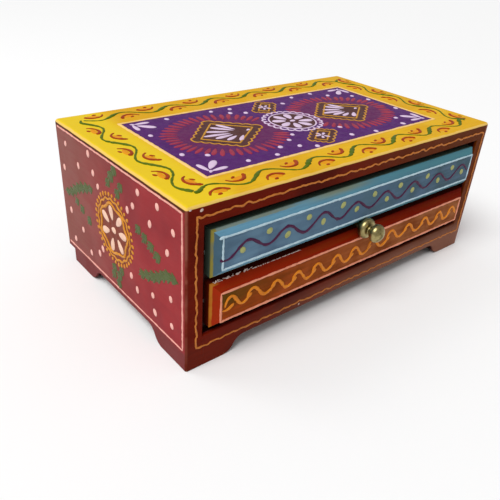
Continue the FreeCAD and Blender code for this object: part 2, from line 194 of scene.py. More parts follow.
def makeCasePaint():
    look = casePaint
    made, tree, shader, place = newMaterial("brushedCasePaint")
    xyz = addNode(tree, "ShaderNodeSeparateXYZ", {0: place})
    x, y, z = xyz.outputs
    wander = calc(tree, "MULTIPLY", calc(tree, "SUBTRACT", grain(tree, place, 130, 2.0), 0.5), 2 * look["handEdge"] * mm)
    middleY = (caseFront + caseBack) / 2
    fromSide = calc(tree, "SUBTRACT", caseRight, calc(tree, "ABSOLUTE", x))
    fromEnd = calc(tree, "SUBTRACT", (caseBack - caseFront) / 2,
                   calc(tree, "ABSOLUTE", calc(tree, "SUBTRACT", y, middleY)))
    fromRim = calc(tree, "ADD", calc(tree, "MINIMUM", fromSide, fromEnd), wander)

    # brush marks run along X on the top and the front, and along Y on the sides
    alongX = grain(tree, place, 420, 4.0, 0.62, (0.09, 1, 1))
    alongY = grain(tree, place, 420, 4.0, 0.62, (1, 0.09, 1))
    onSide = fade(tree, fromSide, 1.3 * mm, 0.6 * mm)
    brush = addNode(tree, "ShaderNodeMix", {0: onSide, 2: alongX, 3: alongY}, data_type="FLOAT").outputs[0]
    cloud = grain(tree, place, 28, 3.0)

    side = blendColour(tree, fade(tree, cloud, 0.35, 0.7), look["maroon"], look["deepMaroon"])
    # painted light: the sides grow lighter and greyer towards the back
    side = blendColour(tree, fade(tree, y, caseFront + 30 * mm, caseBack, 0.0, 0.8), side, look["backLitMaroon"])
    side = blendColour(tree, fade(tree, brush, 0.35, 0.75, 0.0, 0.3), side, look["deepMaroon"])
    side = blendColour(tree, fade(tree, z, 12.5 * mm, 10.0 * mm), side, look["footMaroon"])
    # painted shadow: a dark line on the sides just under the rounded top edge
    arrisShadowLine = calc(tree, "MULTIPLY", fade(tree, calc(tree, "ADD", z, wander), caseTop - 3.3 * mm, caseTop - 2.9 * mm), onSide)
    side = blendColour(tree, arrisShadowLine, side, look["arrisShadow"])
    front = blendColour(tree, fade(tree, cloud, 0.35, 0.68), look["frontBrown"], look["deepFront"])
    front = blendColour(tree, fade(tree, brush, 0.4, 0.75, 0.0, 0.4), front, look["deepFront"])
    # painted light: the front grows lighter and more orange towards the right
    front = blendColour(tree, fade(tree, x, -60 * mm, 100 * mm, 0.0, 0.6), front, look["rightLitFront"])
    # wear and painted highlight: a lighter strip down the right edge of the front
    front = blendColour(tree, fade(tree, x, caseRight - 3.6 * mm, caseRight - 1.4 * mm, 0.0, 0.75), front, look["wearAndHighlight"])
    # painted reflected light: the lower right of the front and the apron is lighter
    reflectedLightMask = calc(tree, "MULTIPLY", fade(tree, z, 24 * mm, 12 * mm), fade(tree, x, -112 * mm, 60 * mm, 0.05, 0.85))
    front = blendColour(tree, reflectedLightMask, front, look["reflectedLightFront"])
    onFront = fade(tree, calc(tree, "ADD", y, wander), caseFront + 1.6 * mm, caseFront + 1.0 * mm)
    colour = blendColour(tree, onFront, side, front)
    # wear and painted highlight along the front corners, stronger higher up
    wearHighlightMask = calc(tree, "MULTIPLY", fade(tree, fromSide, 1.6 * mm, 0.4 * mm, 0.0, 0.6), fade(tree, y, caseFront + 1.5 * mm, caseFront + 0.5 * mm))
    wearHighlightMask = calc(tree, "MULTIPLY", wearHighlightMask, fade(tree, grain(tree, place, 75, 3.0), 0.35, 0.55, 0.15, 1.0))
    colour = blendColour(tree, calc(tree, "MULTIPLY", wearHighlightMask, fade(tree, z, 20 * mm, 60 * mm, 0.4, 1.0)), colour, look["wearAndHighlight"])

    # under the boards and inside the arches the paint is dark and thin
    under = fade(tree, z, 9.6 * mm, 9.2 * mm)
    colour = blendColour(tree, calc(tree, "MULTIPLY", under, fade(tree, fromRim, 1.2 * mm, 2.5 * mm)), colour, look["underside"])

    yellow = blendColour(tree, fade(tree, cloud, 0.3, 0.75, 0.0, 0.7), look["yellow"], look["deepYellow"])
    yellow = blendColour(tree, fade(tree, brush, 0.42, 0.75, 0.0, 0.45), yellow, look["deepYellow"])
    yellow = blendColour(tree, fade(tree, x, -92 * mm, -106 * mm, 0.0, 0.8), yellow, look["leftYellow"])
    rimWide = look["creamEdge"]
    yellow = blendColour(tree, fade(tree, fromRim, (rimWide + 0.5) * mm, (rimWide - 0.3) * mm, 0.0, 0.9), yellow, look["cream"])
    onTop = fade(tree, calc(tree, "ADD", z, calc(tree, "MULTIPLY", wander, 0.5)), caseTop - 1.8 * mm, caseTop - 1.5 * mm)
    colour = blendColour(tree, onTop, colour, yellow)

    # bare wood inside, past the painted lip of the opening
    lip = calc(tree, "ADD", y, calc(tree, "MULTIPLY", wander, 3.0))
    inside = calc(tree, "MULTIPLY", fade(tree, lip, caseFront + 6.5 * mm, caseFront + 7.5 * mm),
                  fade(tree, calc(tree, "ABSOLUTE", x), sideHigh.x * -1 + 0.15 * mm, sideHigh.x * -1 + 0.05 * mm))
    inside = calc(tree, "MULTIPLY", inside, fade(tree, z, topLow.z + 0.15 * mm, topLow.z + 0.05 * mm))
    inside = calc(tree, "MULTIPLY", inside, fade(tree, z, 12.0 * mm, 12.3 * mm))
    inside = calc(tree, "MULTIPLY", inside, fade(tree, y, sideHigh.y + 0.15 * mm, sideHigh.y + 0.05 * mm))
    bare, lines, fibre = woodColour(tree, place, "x")
    # painted shade: the lip just inside the opening is dark brown
    lipShadeMask = calc(tree, "MULTIPLY", fade(tree, y, caseFront + 1.1 * mm, caseFront + 1.9 * mm),
                   fade(tree, y, caseFront + 9.0 * mm, caseFront + 8.0 * mm))
    lipShadeMask = calc(tree, "MULTIPLY", lipShadeMask,
                   fade(tree, calc(tree, "ABSOLUTE", x), sideHigh.x * -1 + 0.15 * mm, sideHigh.x * -1 + 0.05 * mm))
    lipShadeMask = calc(tree, "MULTIPLY", lipShadeMask, fade(tree, z, topLow.z + 0.15 * mm, topLow.z + 0.05 * mm))
    lipShadeMask = calc(tree, "MULTIPLY", lipShadeMask, fade(tree, z, apronHigh.z - 0.3 * mm, apronHigh.z - 0.1 * mm))
    colour = blendColour(tree, lipShadeMask, colour, look["lipShade"])
    colour = blendColour(tree, inside, colour, bare)

    # small chips under the feet
    nearFloor = fade(tree, z, 1.6 * mm, 0.2 * mm)
    chips = calc(tree, "MULTIPLY", nearFloor, fade(tree, grain(tree, place, 620, 3.0, 0.6), 0.6, 0.66))
    colour = blendColour(tree, chips, colour, look["bareWood"])

    rough = fade(tree, grain(tree, place, 60, 3.0), 0.3, 0.7, 0.34, 0.5)
    rough = calc(tree, "ADD", rough, calc(tree, "MULTIPLY", inside, 0.3), clamp=True)
    setShader(tree, shader, colour, rough,
              [(grain(tree, place, 45, 2.0), 0.25), (brush, 0.1), (calc(tree, "SUBTRACT", 1.0, chips), 0.12)],
              Specular_IOR_Level=look["gloss"])
    return made


bluePanel = {"name": "bluePanelPaint", "box": (upperLow, upperHigh), "gloss": 0.08, "rim": (4.8, 5.1, 4.5, 3.8),
             "field": tone(100, 132, 156), "fieldDeep": tone(78, 104, 128), "fieldLitFar": tone(48, 78, 90),
             "bevel": tone(102, 152, 178), "bevelLitFar": tone(74, 126, 137), "leftBevel": tone(66, 94, 110),
             "corner": tone(70, 96, 110), "cornerDark": 0.25,
             "edge": tone(70, 84, 72), "arris": tone(134, 124, 56), "arrisFade": 70.0, "stain": 0.55}
orangePanel = {"name": "orangePanelPaint", "box": (lowerLow, lowerHigh), "gloss": 0.03, "rim": (4.8, 3.9, 4.5, 5.6),
               "field": tone(158, 64, 12), "fieldDeep": tone(122, 56, 10), "fieldLitFar": tone(154, 92, 48),
               "bevel": tone(144, 34, 8), "bevelLitFar": tone(112, 16, 0), "leftBevel": tone(158, 42, 14),
               "corner": tone(78, 62, 6), "cornerDark": 0.75,
               "edge": tone(88, 22, 8), "arris": tone(176, 108, 34), "arrisFade": 6.0, "stain": 0.0}


def makePanelPaint(look):
    made, tree, shader, place = newMaterial(look["name"])
    low, high = look["box"]
    x, y, z = addNode(tree, "ShaderNodeSeparateXYZ", {0: place}).outputs
    brush = grain(tree, place, 400, 4.0, 0.6, (0.08, 1, 1))
    cloud = grain(tree, place, 60, 3.0)
    wander = calc(tree, "MULTIPLY", calc(tree, "SUBTRACT", grain(tree, place, 170, 2.0), 0.5), 0.6 * mm)
    mottle = calc(tree, "ADD", calc(tree, "MULTIPLY", cloud, 0.6), calc(tree, "MULTIPLY", brush, 0.4))
    # painted light: field and bevel change colour from left to right across the panel
    lightAcrossFront = fade(tree, x, low.x, high.x * 0.6)
    field = blendColour(tree, lightAcrossFront, look["field"], look["fieldLitFar"])
    field = blendColour(tree, fade(tree, mottle, 0.36, 0.66), field, look["fieldDeep"])
    corner = calc(tree, "MULTIPLY", fade(tree, x, low.x + 46 * mm, low.x + 8 * mm, 0.0, look["cornerDark"]),
                  fade(tree, calc(tree, "ADD", z, calc(tree, "MULTIPLY", wander, 6.0)), low.z + 8 * mm, low.z + 17 * mm))
    field = blendColour(tree, corner, field, look["corner"])
    bevel = blendColour(tree, lightAcrossFront, look["bevel"], look["bevelLitFar"])

    # the left bevel is its own colour, up to the mitres
    fromLeft = calc(tree, "SUBTRACT", x, low.x)
    fromEnds = calc(tree, "MINIMUM", calc(tree, "SUBTRACT", high.z, z), calc(tree, "SUBTRACT", z, low.z))
    leftSide = fade(tree, calc(tree, "SUBTRACT", fromLeft, fromEnds), 0.15 * mm, -0.15 * mm)
    bevel = blendColour(tree, leftSide, bevel, look["leftBevel"])
    bevel = blendColour(tree, fade(tree, brush, 0.4, 0.75, 0.0, 0.35), bevel, look["fieldDeep"])
    stain = calc(tree, "MULTIPLY", fade(tree, x, -60 * mm, -30 * mm), fade(tree, x, 15 * mm, -20 * mm))
    stain = calc(tree, "MULTIPLY", stain, fade(tree, z, high.z - 3.0 * mm, high.z - 0.5 * mm, 0.0, look["stain"]))
    bevel = blendColour(tree, stain, bevel, look["arris"])
    depth = calc(tree, "ADD", y, wander)
    left, below, right, above = (v * mm for v in look["rim"])
    within = calc(tree, "MINIMUM", calc(tree, "MINIMUM", calc(tree, "SUBTRACT", x, low.x + left), calc(tree, "SUBTRACT", high.x - right, x)),
                  calc(tree, "MINIMUM", calc(tree, "SUBTRACT", z, low.z + below), calc(tree, "SUBTRACT", high.z - above, z)))
    colour = blendColour(tree, fade(tree, within, 0.1 * mm, -0.1 * mm), field, bevel)
    colour = blendColour(tree, fade(tree, depth, panelEdge + 0.2 * mm, panelEdge + 0.8 * mm), colour, look["edge"])
    onArris = calc(tree, "MULTIPLY", fade(tree, depth, panelEdge - 1.1 * mm, panelEdge - 0.8 * mm),
                   fade(tree, depth, panelEdge + 0.7 * mm, panelEdge + 0.35 * mm))
    leftOnly = fade(tree, x, low.x + look["arrisFade"] * mm, low.x + 0.6 * look["arrisFade"] * mm)
    onLeft = fade(tree, fromLeft, 3.0 * mm, 2.0 * mm, 0.55, 1.0)
    broken = fade(tree, grain(tree, place, 90, 2.0), 0.3, 0.5, 0.5, 1.0)
    arris = calc(tree, "MULTIPLY", calc(tree, "MULTIPLY", onArris, leftOnly), calc(tree, "MULTIPLY", broken, onLeft))
    colour = blendColour(tree, arris, colour, look["arris"])
    rough = fade(tree, cloud, 0.3, 0.7, 0.36, 0.52)
    setShader(tree, shader, colour, rough, [(grain(tree, place, 90, 2.0), 0.2), (brush, 0.09)],
              Specular_IOR_Level=look["gloss"])
    return made


# raised paint, one material for each colour on the brush

def makeColour(name, colour, deep=None, roughness=0.4, streak=0.5):
    made, tree, shader, place = newMaterial(name)
    deep = deep or tuple(c * 0.55 for c in colour[:3]) + (1.0,)
    mottle = calc(tree, "ADD", calc(tree, "MULTIPLY", grain(tree, place, 230, 3.0), 0.6),
                  calc(tree, "MULTIPLY", grain(tree, place, 1500, 2.0), 0.4))
    shade = blendColour(tree, fade(tree, mottle, 0.42, 0.68, 0.0, streak), colour, deep)
    rough = fade(tree, grain(tree, place, 300, 2.0), 0.3, 0.7, roughness - 0.06, roughness + 0.1)
    setShader(tree, shader, shade, rough, [(grain(tree, place, 1100, 3.0), 0.06)], Specular_IOR_Level=0.12)
    return made


paints = {
    "vineGreen": makeColour("vineGreen", tone(86, 108, 0), tone(50, 78, 0)),
    "rust": makeColour("rust", tone(164, 60, 0), tone(124, 36, 0)),
    "glow": makeColour("orangeGlow", tone(230, 150, 0), tone(218, 128, 0)),
    "purple": makeColour("purpleGround", tone(82, 25, 104), tone(66, 18, 84), 0.42, 0.6),
    "cream": makeColour("creamLine", tone(246, 206, 128), tone(232, 176, 88)),
    "plumGround": makeColour("plumGround", tone(98, 26, 84), tone(80, 22, 84)),
    "gold": makeColour("goldLine", tone(206, 150, 48), tone(170, 104, 26)),
    "umber": makeColour("umberGround", tone(82, 42, 40), tone(60, 30, 38)),
    "white": makeColour("petalWhite", tone(222, 198, 224), tone(186, 160, 192), 0.4, 0.4),
    "rose": makeColour("roseStroke", tone(160, 50, 72), tone(120, 36, 72)),
    "pinkLine": makeColour("pinkLine", tone(236, 168, 154), tone(206, 128, 120)),
    "blush": makeColour("blushDot", tone(240, 184, 172), tone(214, 150, 138), 0.38, 0.4),
    "petalBlush": makeColour("petalBlush", tone(240, 200, 176), tone(210, 164, 146), 0.38, 0.4),
    "marigold": makeColour("marigold", tone(212, 142, 44), tone(170, 98, 28)),
    "ember": makeColour("emberGround", tone(126, 48, 22), tone(98, 34, 24)),
    "fern": makeColour("fernGreen", tone(80, 94, 46), tone(68, 68, 38)),
    "ochre": makeColour("ochreLine", tone(196, 118, 50), tone(150, 78, 32)),
    "skyWhite": makeColour("skyWhite", tone(186, 210, 220), tone(144, 178, 194)),
    "fleck": makeColour("paleFleck", tone(206, 186, 178), tone(160, 136, 128)),
    "plum": makeColour("plumWave", tone(76, 26, 62), tone(52, 20, 58)),
    "lime": makeColour("limeDot", tone(168, 170, 106), tone(132, 140, 88)),
    "salmon": makeColour("salmonLine", tone(230, 150, 120), tone(198, 110, 82)),
    "amber": makeColour("amberScroll", tone(222, 132, 28), tone(184, 94, 16)),
}


# paint is laid on as dabs, strokes and flat patches, all in millimetres on a face

def newTree(name, inputs):
    tree = bpy.data.node_groups.new(name, "GeometryNodeTree")
    tree.interface.new_socket("Geometry", in_out="INPUT", socket_type="NodeSocketGeometry")
    for label, kind, value in inputs:
        socket = tree.interface.new_socket(label, in_out="INPUT", socket_type=kind)
        if value is not None:
            socket.default_value = value
    tree.interface.new_socket("Geometry", in_out="OUTPUT", socket_type="NodeSocketGeometry")
    return tree, addNode(tree, "NodeGroupInput"), addNode(tree, "NodeGroupOutput")


def wobbleOffset(tree, source, amount, seed, size):
    # a small sideways drift, as of a hand
    place = addNode(tree, "GeometryNodeInputPosition").outputs[0]
    noise = addNode(tree, "ShaderNodeTexNoise", {"Vector": place, "W": seed, "Scale": size, "Detail": 1.0},
                    noise_dimensions="4D")
    drift = addNode(tree, "ShaderNodeVectorMath", {0: noise.outputs["Color"], 1: (0.5, 0.5, 0.5)}, operation="SUBTRACT")
    flat = addNode(tree, "ShaderNodeVectorMath", {0: drift.outputs[0], 1: (1, 1, 0)}, operation="MULTIPLY")
    moved = addNode(tree, "ShaderNodeVectorMath", {0: flat.outputs[0], "Scale": amount}, operation="SCALE")
    return addNode(tree, "GeometryNodeSetPosition", {"Geometry": source, "Offset": moved.outputs[0]}).outputs[0]


def finishTree(tree, source, given, out):
    smoothed = addNode(tree, "GeometryNodeSetShadeSmooth", {"Geometry": source})
    real = addNode(tree, "GeometryNodeRealizeInstances", {0: smoothed.outputs[0]})
    painted = addNode(tree, "GeometryNodeSetMaterial", {"Geometry": real.outputs[0], "Material": given.outputs["Paint"]})
    tree.links.new(painted.outputs[0], out.inputs[0])


def makeDabTree():
    tree, given, out = newTree("paintDabs", [("Taper", "NodeSocketFloat", 0.0), ("Wobble", "NodeSocketFloat", 0.2),
                                             ("Seed", "NodeSocketFloat", 1.0), ("Paint", "NodeSocketMaterial", None)])
    ball = addNode(tree, "GeometryNodeMeshUVSphere", {"Segments": 14, "Rings": 7, "Radius": 0.5})
    place = addNode(tree, "GeometryNodeInputPosition")
    x, y, z = addNode(tree, "ShaderNodeSeparateXYZ", {0: place.outputs[0]}).outputs
    tail = calc(tree, "MULTIPLY", calc(tree, "SUBTRACT", 0.5, x), given.outputs["Taper"])
    narrow = calc(tree, "SUBTRACT", 1.0, tail)
    shaped = addNode(tree, "ShaderNodeCombineXYZ", {0: x, 1: calc(tree, "MULTIPLY", y, narrow),
                                                    2: calc(tree, "MULTIPLY", calc(tree, "MAXIMUM", z, -0.15), narrow)})
    dab = addNode(tree, "GeometryNodeSetPosition", {"Geometry": ball.outputs[0], "Position": shaped.outputs[0]})
    turn = addNode(tree, "GeometryNodeInputNamedAttribute", {"Name": "turn"}, data_type="FLOAT")
    size = addNode(tree, "GeometryNodeInputNamedAttribute", {"Name": "size"}, data_type="FLOAT_VECTOR")
    spin = addNode(tree, "ShaderNodeCombineXYZ", {2: turn.outputs[0]})
    placed = addNode(tree, "GeometryNodeInstanceOnPoints",
                     {"Points": given.outputs[0], "Instance": dab.outputs[0],
                      "Rotation": addNode(tree, "FunctionNodeEulerToRotation", {0: spin.outputs[0]}).outputs[0],
                      "Scale": size.outputs[0]})
    real = addNode(tree, "GeometryNodeRealizeInstances", {0: placed.outputs[0]})
    drifted = wobbleOffset(tree, real.outputs[0], given.outputs["Wobble"], given.outputs["Seed"], 0.5)
    finishTree(tree, drifted, given, out)
    return tree


def makeStrokeTree():
    tree, given, out = newTree("paintStrokes", [("Relief", "NodeSocketFloat", 0.35), ("Wobble", "NodeSocketFloat", 0.3),
                                                ("Uneven", "NodeSocketFloat", 0.5), ("Seed", "NodeSocketFloat", 1.0),
                                                ("Paint", "NodeSocketMaterial", None)])
    path = addNode(tree, "GeometryNodeMeshToCurve", {0: given.outputs[0]})
    drifted = wobbleOffset(tree, path.outputs[0], given.outputs["Wobble"], given.outputs["Seed"], 0.22)
    half = addNode(tree, "GeometryNodeInputNamedAttribute", {"Name": "halfWidth"}, data_type="FLOAT")
    place = addNode(tree, "GeometryNodeInputPosition")
    load = addNode(tree, "ShaderNodeTexNoise", {"Vector": place.outputs[0], "Scale": 0.35, "Detail": 2.0})
    swing = calc(tree, "MULTIPLY", calc(tree, "SUBTRACT", load.outputs[0], 0.5), given.outputs["Uneven"])
    radius = calc(tree, "MULTIPLY", half.outputs[0], calc(tree, "ADD", calc(tree, "MULTIPLY", swing, 2.0), 1.0))
    round8 = addNode(tree, "GeometryNodeCurvePrimitiveCircle", {"Resolution": 8, "Radius": 1.0})
    body = addNode(tree, "GeometryNodeCurveToMesh",
                   {"Curve": drifted, "Profile Curve": round8.outputs[0], "Scale": radius, "Fill Caps": True})
    x, y, z = addNode(tree, "ShaderNodeSeparateXYZ", {0: place.outputs[0]}).outputs
    lift = addNode(tree, "ShaderNodeCombineXYZ", {0: x, 1: y, 2: calc(tree, "MULTIPLY", z, given.outputs["Relief"])})
    flat = addNode(tree, "GeometryNodeSetPosition", {"Geometry": body.outputs[0], "Position": lift.outputs[0]})
    finishTree(tree, flat.outputs[0], given, out)
    return tree


dabTree = makeDabTree()
strokeTree = makeStrokeTree()


def runTree(tree, mesh, settings):
    # the tree's result as a plain mesh, with no modifier left
    carrier = bpy.data.objects.new("carrier", mesh)
    bpy.context.scene.collection.objects.link(carrier)
    modifier = carrier.modifiers.new("paint", "NODES")
    modifier.node_group = tree
    for item in tree.interface.items_tree:
        if item.in_out == "INPUT" and item.name in settings:
            modifier[item.identifier] = settings[item.name]
    bpy.context.view_layer.update()
    plain = bpy.data.meshes.new_from_object(carrier.evaluated_get(bpy.context.evaluated_depsgraph_get()))
    bpy.data.objects.remove(carrier)
    return plain


seedCount = [0]


def nextSeed():
    seedCount[0] += 1
    return 3.7 * seedCount[0]


def dabs(places, paint, taper=0.0, wobble=0.25):
    # places: (u, v, length, width, turn in degrees, height)
    mesh = bpy.data.meshes.new("dabPoints")
    mesh.from_pydata([(p[0], p[1], 0.0) for p in places], [], [])
    turn = mesh.attributes.new("turn", "FLOAT", "POINT")
    size = mesh.attributes.new("size", "FLOAT_VECTOR", "POINT")
    turn.data.foreach_set("value", [math.radians(p[4]) for p in places])
    size.data.foreach_set("vector", [n for p in places for n in (p[2], p[3], 2 * p[5])])
    return runTree(dabTree, mesh, {"Taper": taper, "Wobble": wobble, "Seed": nextSeed(), "Paint": paints[paint]})


def strokes(paths, paint, relief=0.35, wobble=0.3, uneven=0.5):
    # paths: (points, half widths, closed)
    verts, edges, halves = [], [], []
    for points, widths, closed in paths:
        start = len(verts)
        verts += [(u, v, 0.0) for u, v in points]
        edges += [(start + i, start + i + 1) for i in range(len(points) - 1)]
        if closed:
            edges.append((start + len(points) - 1, start))
        halves += widths
    mesh = bpy.data.meshes.new("strokePath")
    mesh.from_pydata(verts, edges, [])
    mesh.attributes.new("halfWidth", "FLOAT", "POINT").data.foreach_set("value", halves)
    return runTree(strokeTree, mesh, {"Relief": relief, "Wobble": wobble, "Uneven": uneven,
                                      "Seed": nextSeed(), "Paint": paints[paint]})


def patch(outline, paint, height=0.08, rim=0.25):
    # a flat coat with a rolled edge; the outline runs anticlockwise
    made = bmesh.new()
    count = len(outline)
    middle = Vector((sum(p[0] for p in outline) / count, sum(p[1] for p in outline) / count))
    foot, crest = [], []
    for i, point in enumerate(outline):
        before, after = Vector(outline[i - 1]), Vector(outline[(i + 1) % count])
        way = (after - before).normalized()
        inward = Vector((-way.y, way.x))
        inner = Vector(point) + inward * rim
        foot.append(made.verts.new((point[0], point[1], -0.05)))
        crest.append(made.verts.new((inner.x, inner.y, height)))
    for i in range(count):
        j = (i + 1) % count
        made.faces.new((foot[i], foot[j], crest[j], crest[i])).smooth = True
    bmesh.ops.triangulate(made, faces=[made.faces.new(crest)])
    made.faces.new(foot[::-1])
    mesh = bpy.data.meshes.new("coat")
    made.to_mesh(mesh)
    made.free()
    mesh.materials.append(paints[paint])
    return mesh


def facePlace(origin, u, v):
    n = Vector(u).cross(Vector(v))
    return Matrix(((u[0] * mm, v[0] * mm, n[0] * mm, origin[0]), (u[1] * mm, v[1] * mm, n[1] * mm, origin[1]),
                   (u[2] * mm, v[2] * mm, n[2] * mm, origin[2]), (0, 0, 0, 1)))


faces = {
    "top": facePlace((caseLeft, caseFront, caseTop), (1, 0, 0), (0, 1, 0)),
    "left": facePlace((caseLeft, caseBack, 0), (0, -1, 0), (0, 0, 1)),
    "right": facePlace((caseRight, caseFront, 0), (0, 1, 0), (0, 0, 1)),
    "back": facePlace((caseRight, caseBack, 0), (-1, 0, 0), (0, 0, 1)),
    "front": facePlace((caseLeft, caseFront, 0), (1, 0, 0), (0, 0, 1)),
    "upperField": facePlace((upperLow.x, fieldFront, upperLow.z), (1, 0, 0), (0, 0, 1)),
    "lowerField": facePlace((lowerLow.x, fieldFront, lowerLow.z), (1, 0, 0), (0, 0, 1)),
    "panelArris": facePlace((upperLow.x, panelEdge, lowerHigh.z), (1, 0, 0), (0, 0, 1)),
}
pieceCount = [0]


def layOn(name, face, parts, body="case", lift=0.0):
    # joins the parts and lays them on a face of the box; lift is in mm
    made = bmesh.new()
    materials = []
    for mesh in parts:
        before = len(made.faces)
        made.from_mesh(mesh)
        made.faces.ensure_lookup_table()
        for material in mesh.materials:
            if material not in materials:
                materials.append(material)
        for f in made.faces[before:]:
            f.material_index = materials.index(mesh.materials[f.material_index])
    mesh = bpy.data.meshes.new(name)
    made.to_mesh(mesh)
    made.free()
    for material in materials:
        mesh.materials.append(material)
    mesh.transform(faces[face] @ Matrix.Translation((0, 0, lift)))
    for spare in parts:
        bpy.data.meshes.remove(spare)
    piece = bpy.data.objects.new(name, mesh)
    bpy.context.scene.collection.objects.link(piece)
    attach(piece, body)
    pieceCount[0] += 1
    return piece


# shapes that the painter repeats

def smooth(points, closed=False, step=0.7):
    # a Catmull-Rom run through the points
    found = []
    count = len(points)
    spans = count if closed else count - 1
    for i in range(spans):
        if closed:
            a, b, c, d = (Vector(points[(i + k) % count]) for k in (-1, 0, 1, 2))
        else:
            b, c = Vector(points[i]), Vector(points[i + 1])
            a = Vector(points[i - 1]) if i > 0 else 2 * b - c
            d = Vector(points[i + 2]) if i + 2 < count else 2 * c - b
        cuts = max(2, int((c - b).length / step))
        for k in range(cuts):
            t = k / cuts
            found.append(0.5 * ((2 * b) + (c - a) * t + (2 * a - 5 * b + 4 * c - d) * t * t
                                + (3 * b - a - 3 * c + d) * t ** 3))
    if not closed:
        found.append(Vector(points[-1]))
    return [(p.x, p.y) for p in found]


def line(points, half, closed=False, taper=False):
    widths = []
    count = len(points)
    for i in range(count):
        share = i / max(1, count - 1)
        widths.append(half * (min(1.0, 6 * share + 0.35, 6 * (1 - share) + 0.35) if taper else 1.0))
    return (points, widths, closed)


def arc(centre, radius, start, end, step=8):
    count = max(3, int(abs(end - start) / step) + 1)
    return [(centre[0] + radius * math.cos(math.radians(start + (end - start) * i / (count - 1))),
             centre[1] + radius * math.sin(math.radians(start + (end - start) * i / (count - 1))))
            for i in range(count)]


def densify(points, step=1.0):
    # straight runs cut short enough to wander
    found = []
    for i in range(len(points) - 1):
        a, b = Vector(points[i]), Vector(points[i + 1])
        cuts = max(1, int((b - a).length / step))
        found += [tuple(a.lerp(b, k / cuts)) for k in range(cuts)]
    return found + [tuple(points[-1])]


def frameLine(low, high, half):
    ring = densify([low, (high[0], low[1]), high, (low[0], high[1]), low], 1.5)[:-1]
    return (ring, [half] * len(ring), True)


def comma(centre, radius, towards, spread, half):
    # a crescent that swells to one end
    points = arc(centre, radius, towards - spread, towards + spread)
    count = len(points)
    return (points, [half * (0.35 + 0.75 * (i / (count - 1)) ** 0.7) for i in range(count)], False)


def scallops(points, bumps, depth, half):
    # outward loops along straight runs
    path = []
    for i in range(len(points) - 1):
        a, b = Vector(points[i]), Vector(points[i + 1])
        way = b - a
        out = Vector((way.y, -way.x)).normalized()
        for k in range(bumps):
            for j in range(6):
                t = (k + j / 6) / bumps
                path.append(tuple(a + way * t + out * depth * math.sin(math.pi * j / 6)))
    return (path, [half] * len(path), True)


print("paints and brushes ready")


# the boards take their paint

def wear(node, material):
    mesh = nodes[node].data
    mesh.materials.clear()
    mesh.materials.append(material)


caseMaterial = makeCasePaint()
for board in ("top_board", "left_side_board", "right_side_board", "back_board", "front_apron"):
    wear(board, caseMaterial)
wear("upper_front_panel", makePanelPaint(bluePanel))
wear("lower_front_panel", makePanelPaint(orangePanel))
woodAlongX, woodAlongY = makeWood("planedWoodX", "x"), makeWood("planedWoodY", "y")
for board in ("floor_board", "drawer_back", "drawer_bottom"):
    wear(board, woodAlongX)
for board in ("drawer_left_side", "drawer_right_side"):
    wear(board, woodAlongY)

drawerFrontLook = {"paint": tone(40, 12, 8), "deep": tone(24, 8, 6), "paintedDepth": 4.0}


def makeDrawerFrontPaint():
    look = drawerFrontLook
    made, tree, shader, place = newMaterial("darkDrawerFront")
    x, y, z = addNode(tree, "ShaderNodeSeparateXYZ", {0: place}).outputs
    base, lines, fibre = woodColour(tree, place, "x")
    brush = grain(tree, place, 300, 3.0, 0.6, (0.1, 1, 1))
    paint = blendColour(tree, fade(tree, brush, 0.35, 0.7), look["paint"], look["deep"])
    edge = calc(tree, "ADD", y, calc(tree, "MULTIPLY", calc(tree, "SUBTRACT", grain(tree, place, 90, 2.0), 0.5), 5 * mm))
    painted = fade(tree, edge, drawerLow.y + (look["paintedDepth"] + 0.5) * mm, drawerLow.y + (look["paintedDepth"] - 0.5) * mm)
    colour = blendColour(tree, painted, base, paint)
    setShader(tree, shader, colour, fade(tree, painted, 0.0, 1.0, 0.72, 0.5), [(brush, 0.08), (fibre, 0.06)],
              Specular_IOR_Level=0.2)
    return made


wear("drawer_front", makeDrawerFrontPaint())


def makeMetal(name, colour, dull, roughness, scratch, darkening):
    made, tree, shader, place = newMaterial(name)
    cloud = grain(tree, place, 260, 4.0, 0.6)
    fine = grain(tree, place, 1800, 3.0, 0.6)
    shade = blendColour(tree, fade(tree, cloud, 0.4, 0.7, 0.0, darkening), colour, dull)
    rough = calc(tree, "ADD", roughness, calc(tree, "MULTIPLY", cloud, 0.16))
    setShader(tree, shader, shade, rough, [(cloud, 0.03), (fine, scratch)], Metallic=1.0)
    return made


brass = makeMetal("agedBrass", tone(172, 158, 108), tone(96, 82, 44), 0.27, 0.012, 0.85)
steel = makeMetal("wireSteel", tone(176, 176, 174), tone(120, 116, 110), 0.3, 0.01, 0.5)
wear("knob", brass)
for part in ("knob_screw", "knob_washer", "top_nails", "side_nails", "back_nails",
             "drawer_front_nails", "drawer_back_nails", "drawer_bottom_nails"):
    wear(part, steel)
def fillFrontJoints():
    # paint bridges the joints between the side boards and the apron
    for name, middle in (("leftJointPaint", sideHigh.x), ("rightJointPaint", -sideHigh.x)):
        outline = [(middle - 0.9 * mm, 0.8 * mm), (middle + 0.9 * mm, 0.8 * mm),
                   (middle + 0.9 * mm, apronHigh.z - 0.6 * mm), (middle - 0.9 * mm, apronHigh.z - 0.6 * mm)]
        strip = patch([((u - caseLeft) / mm, v / mm) for u, v in outline], "umber", 0.06, 0.4)
        strip.materials.clear()
        strip.materials.append(caseMaterial)
        layOn(name, "front", [strip])


fillFrontJoints()
print("boards painted")

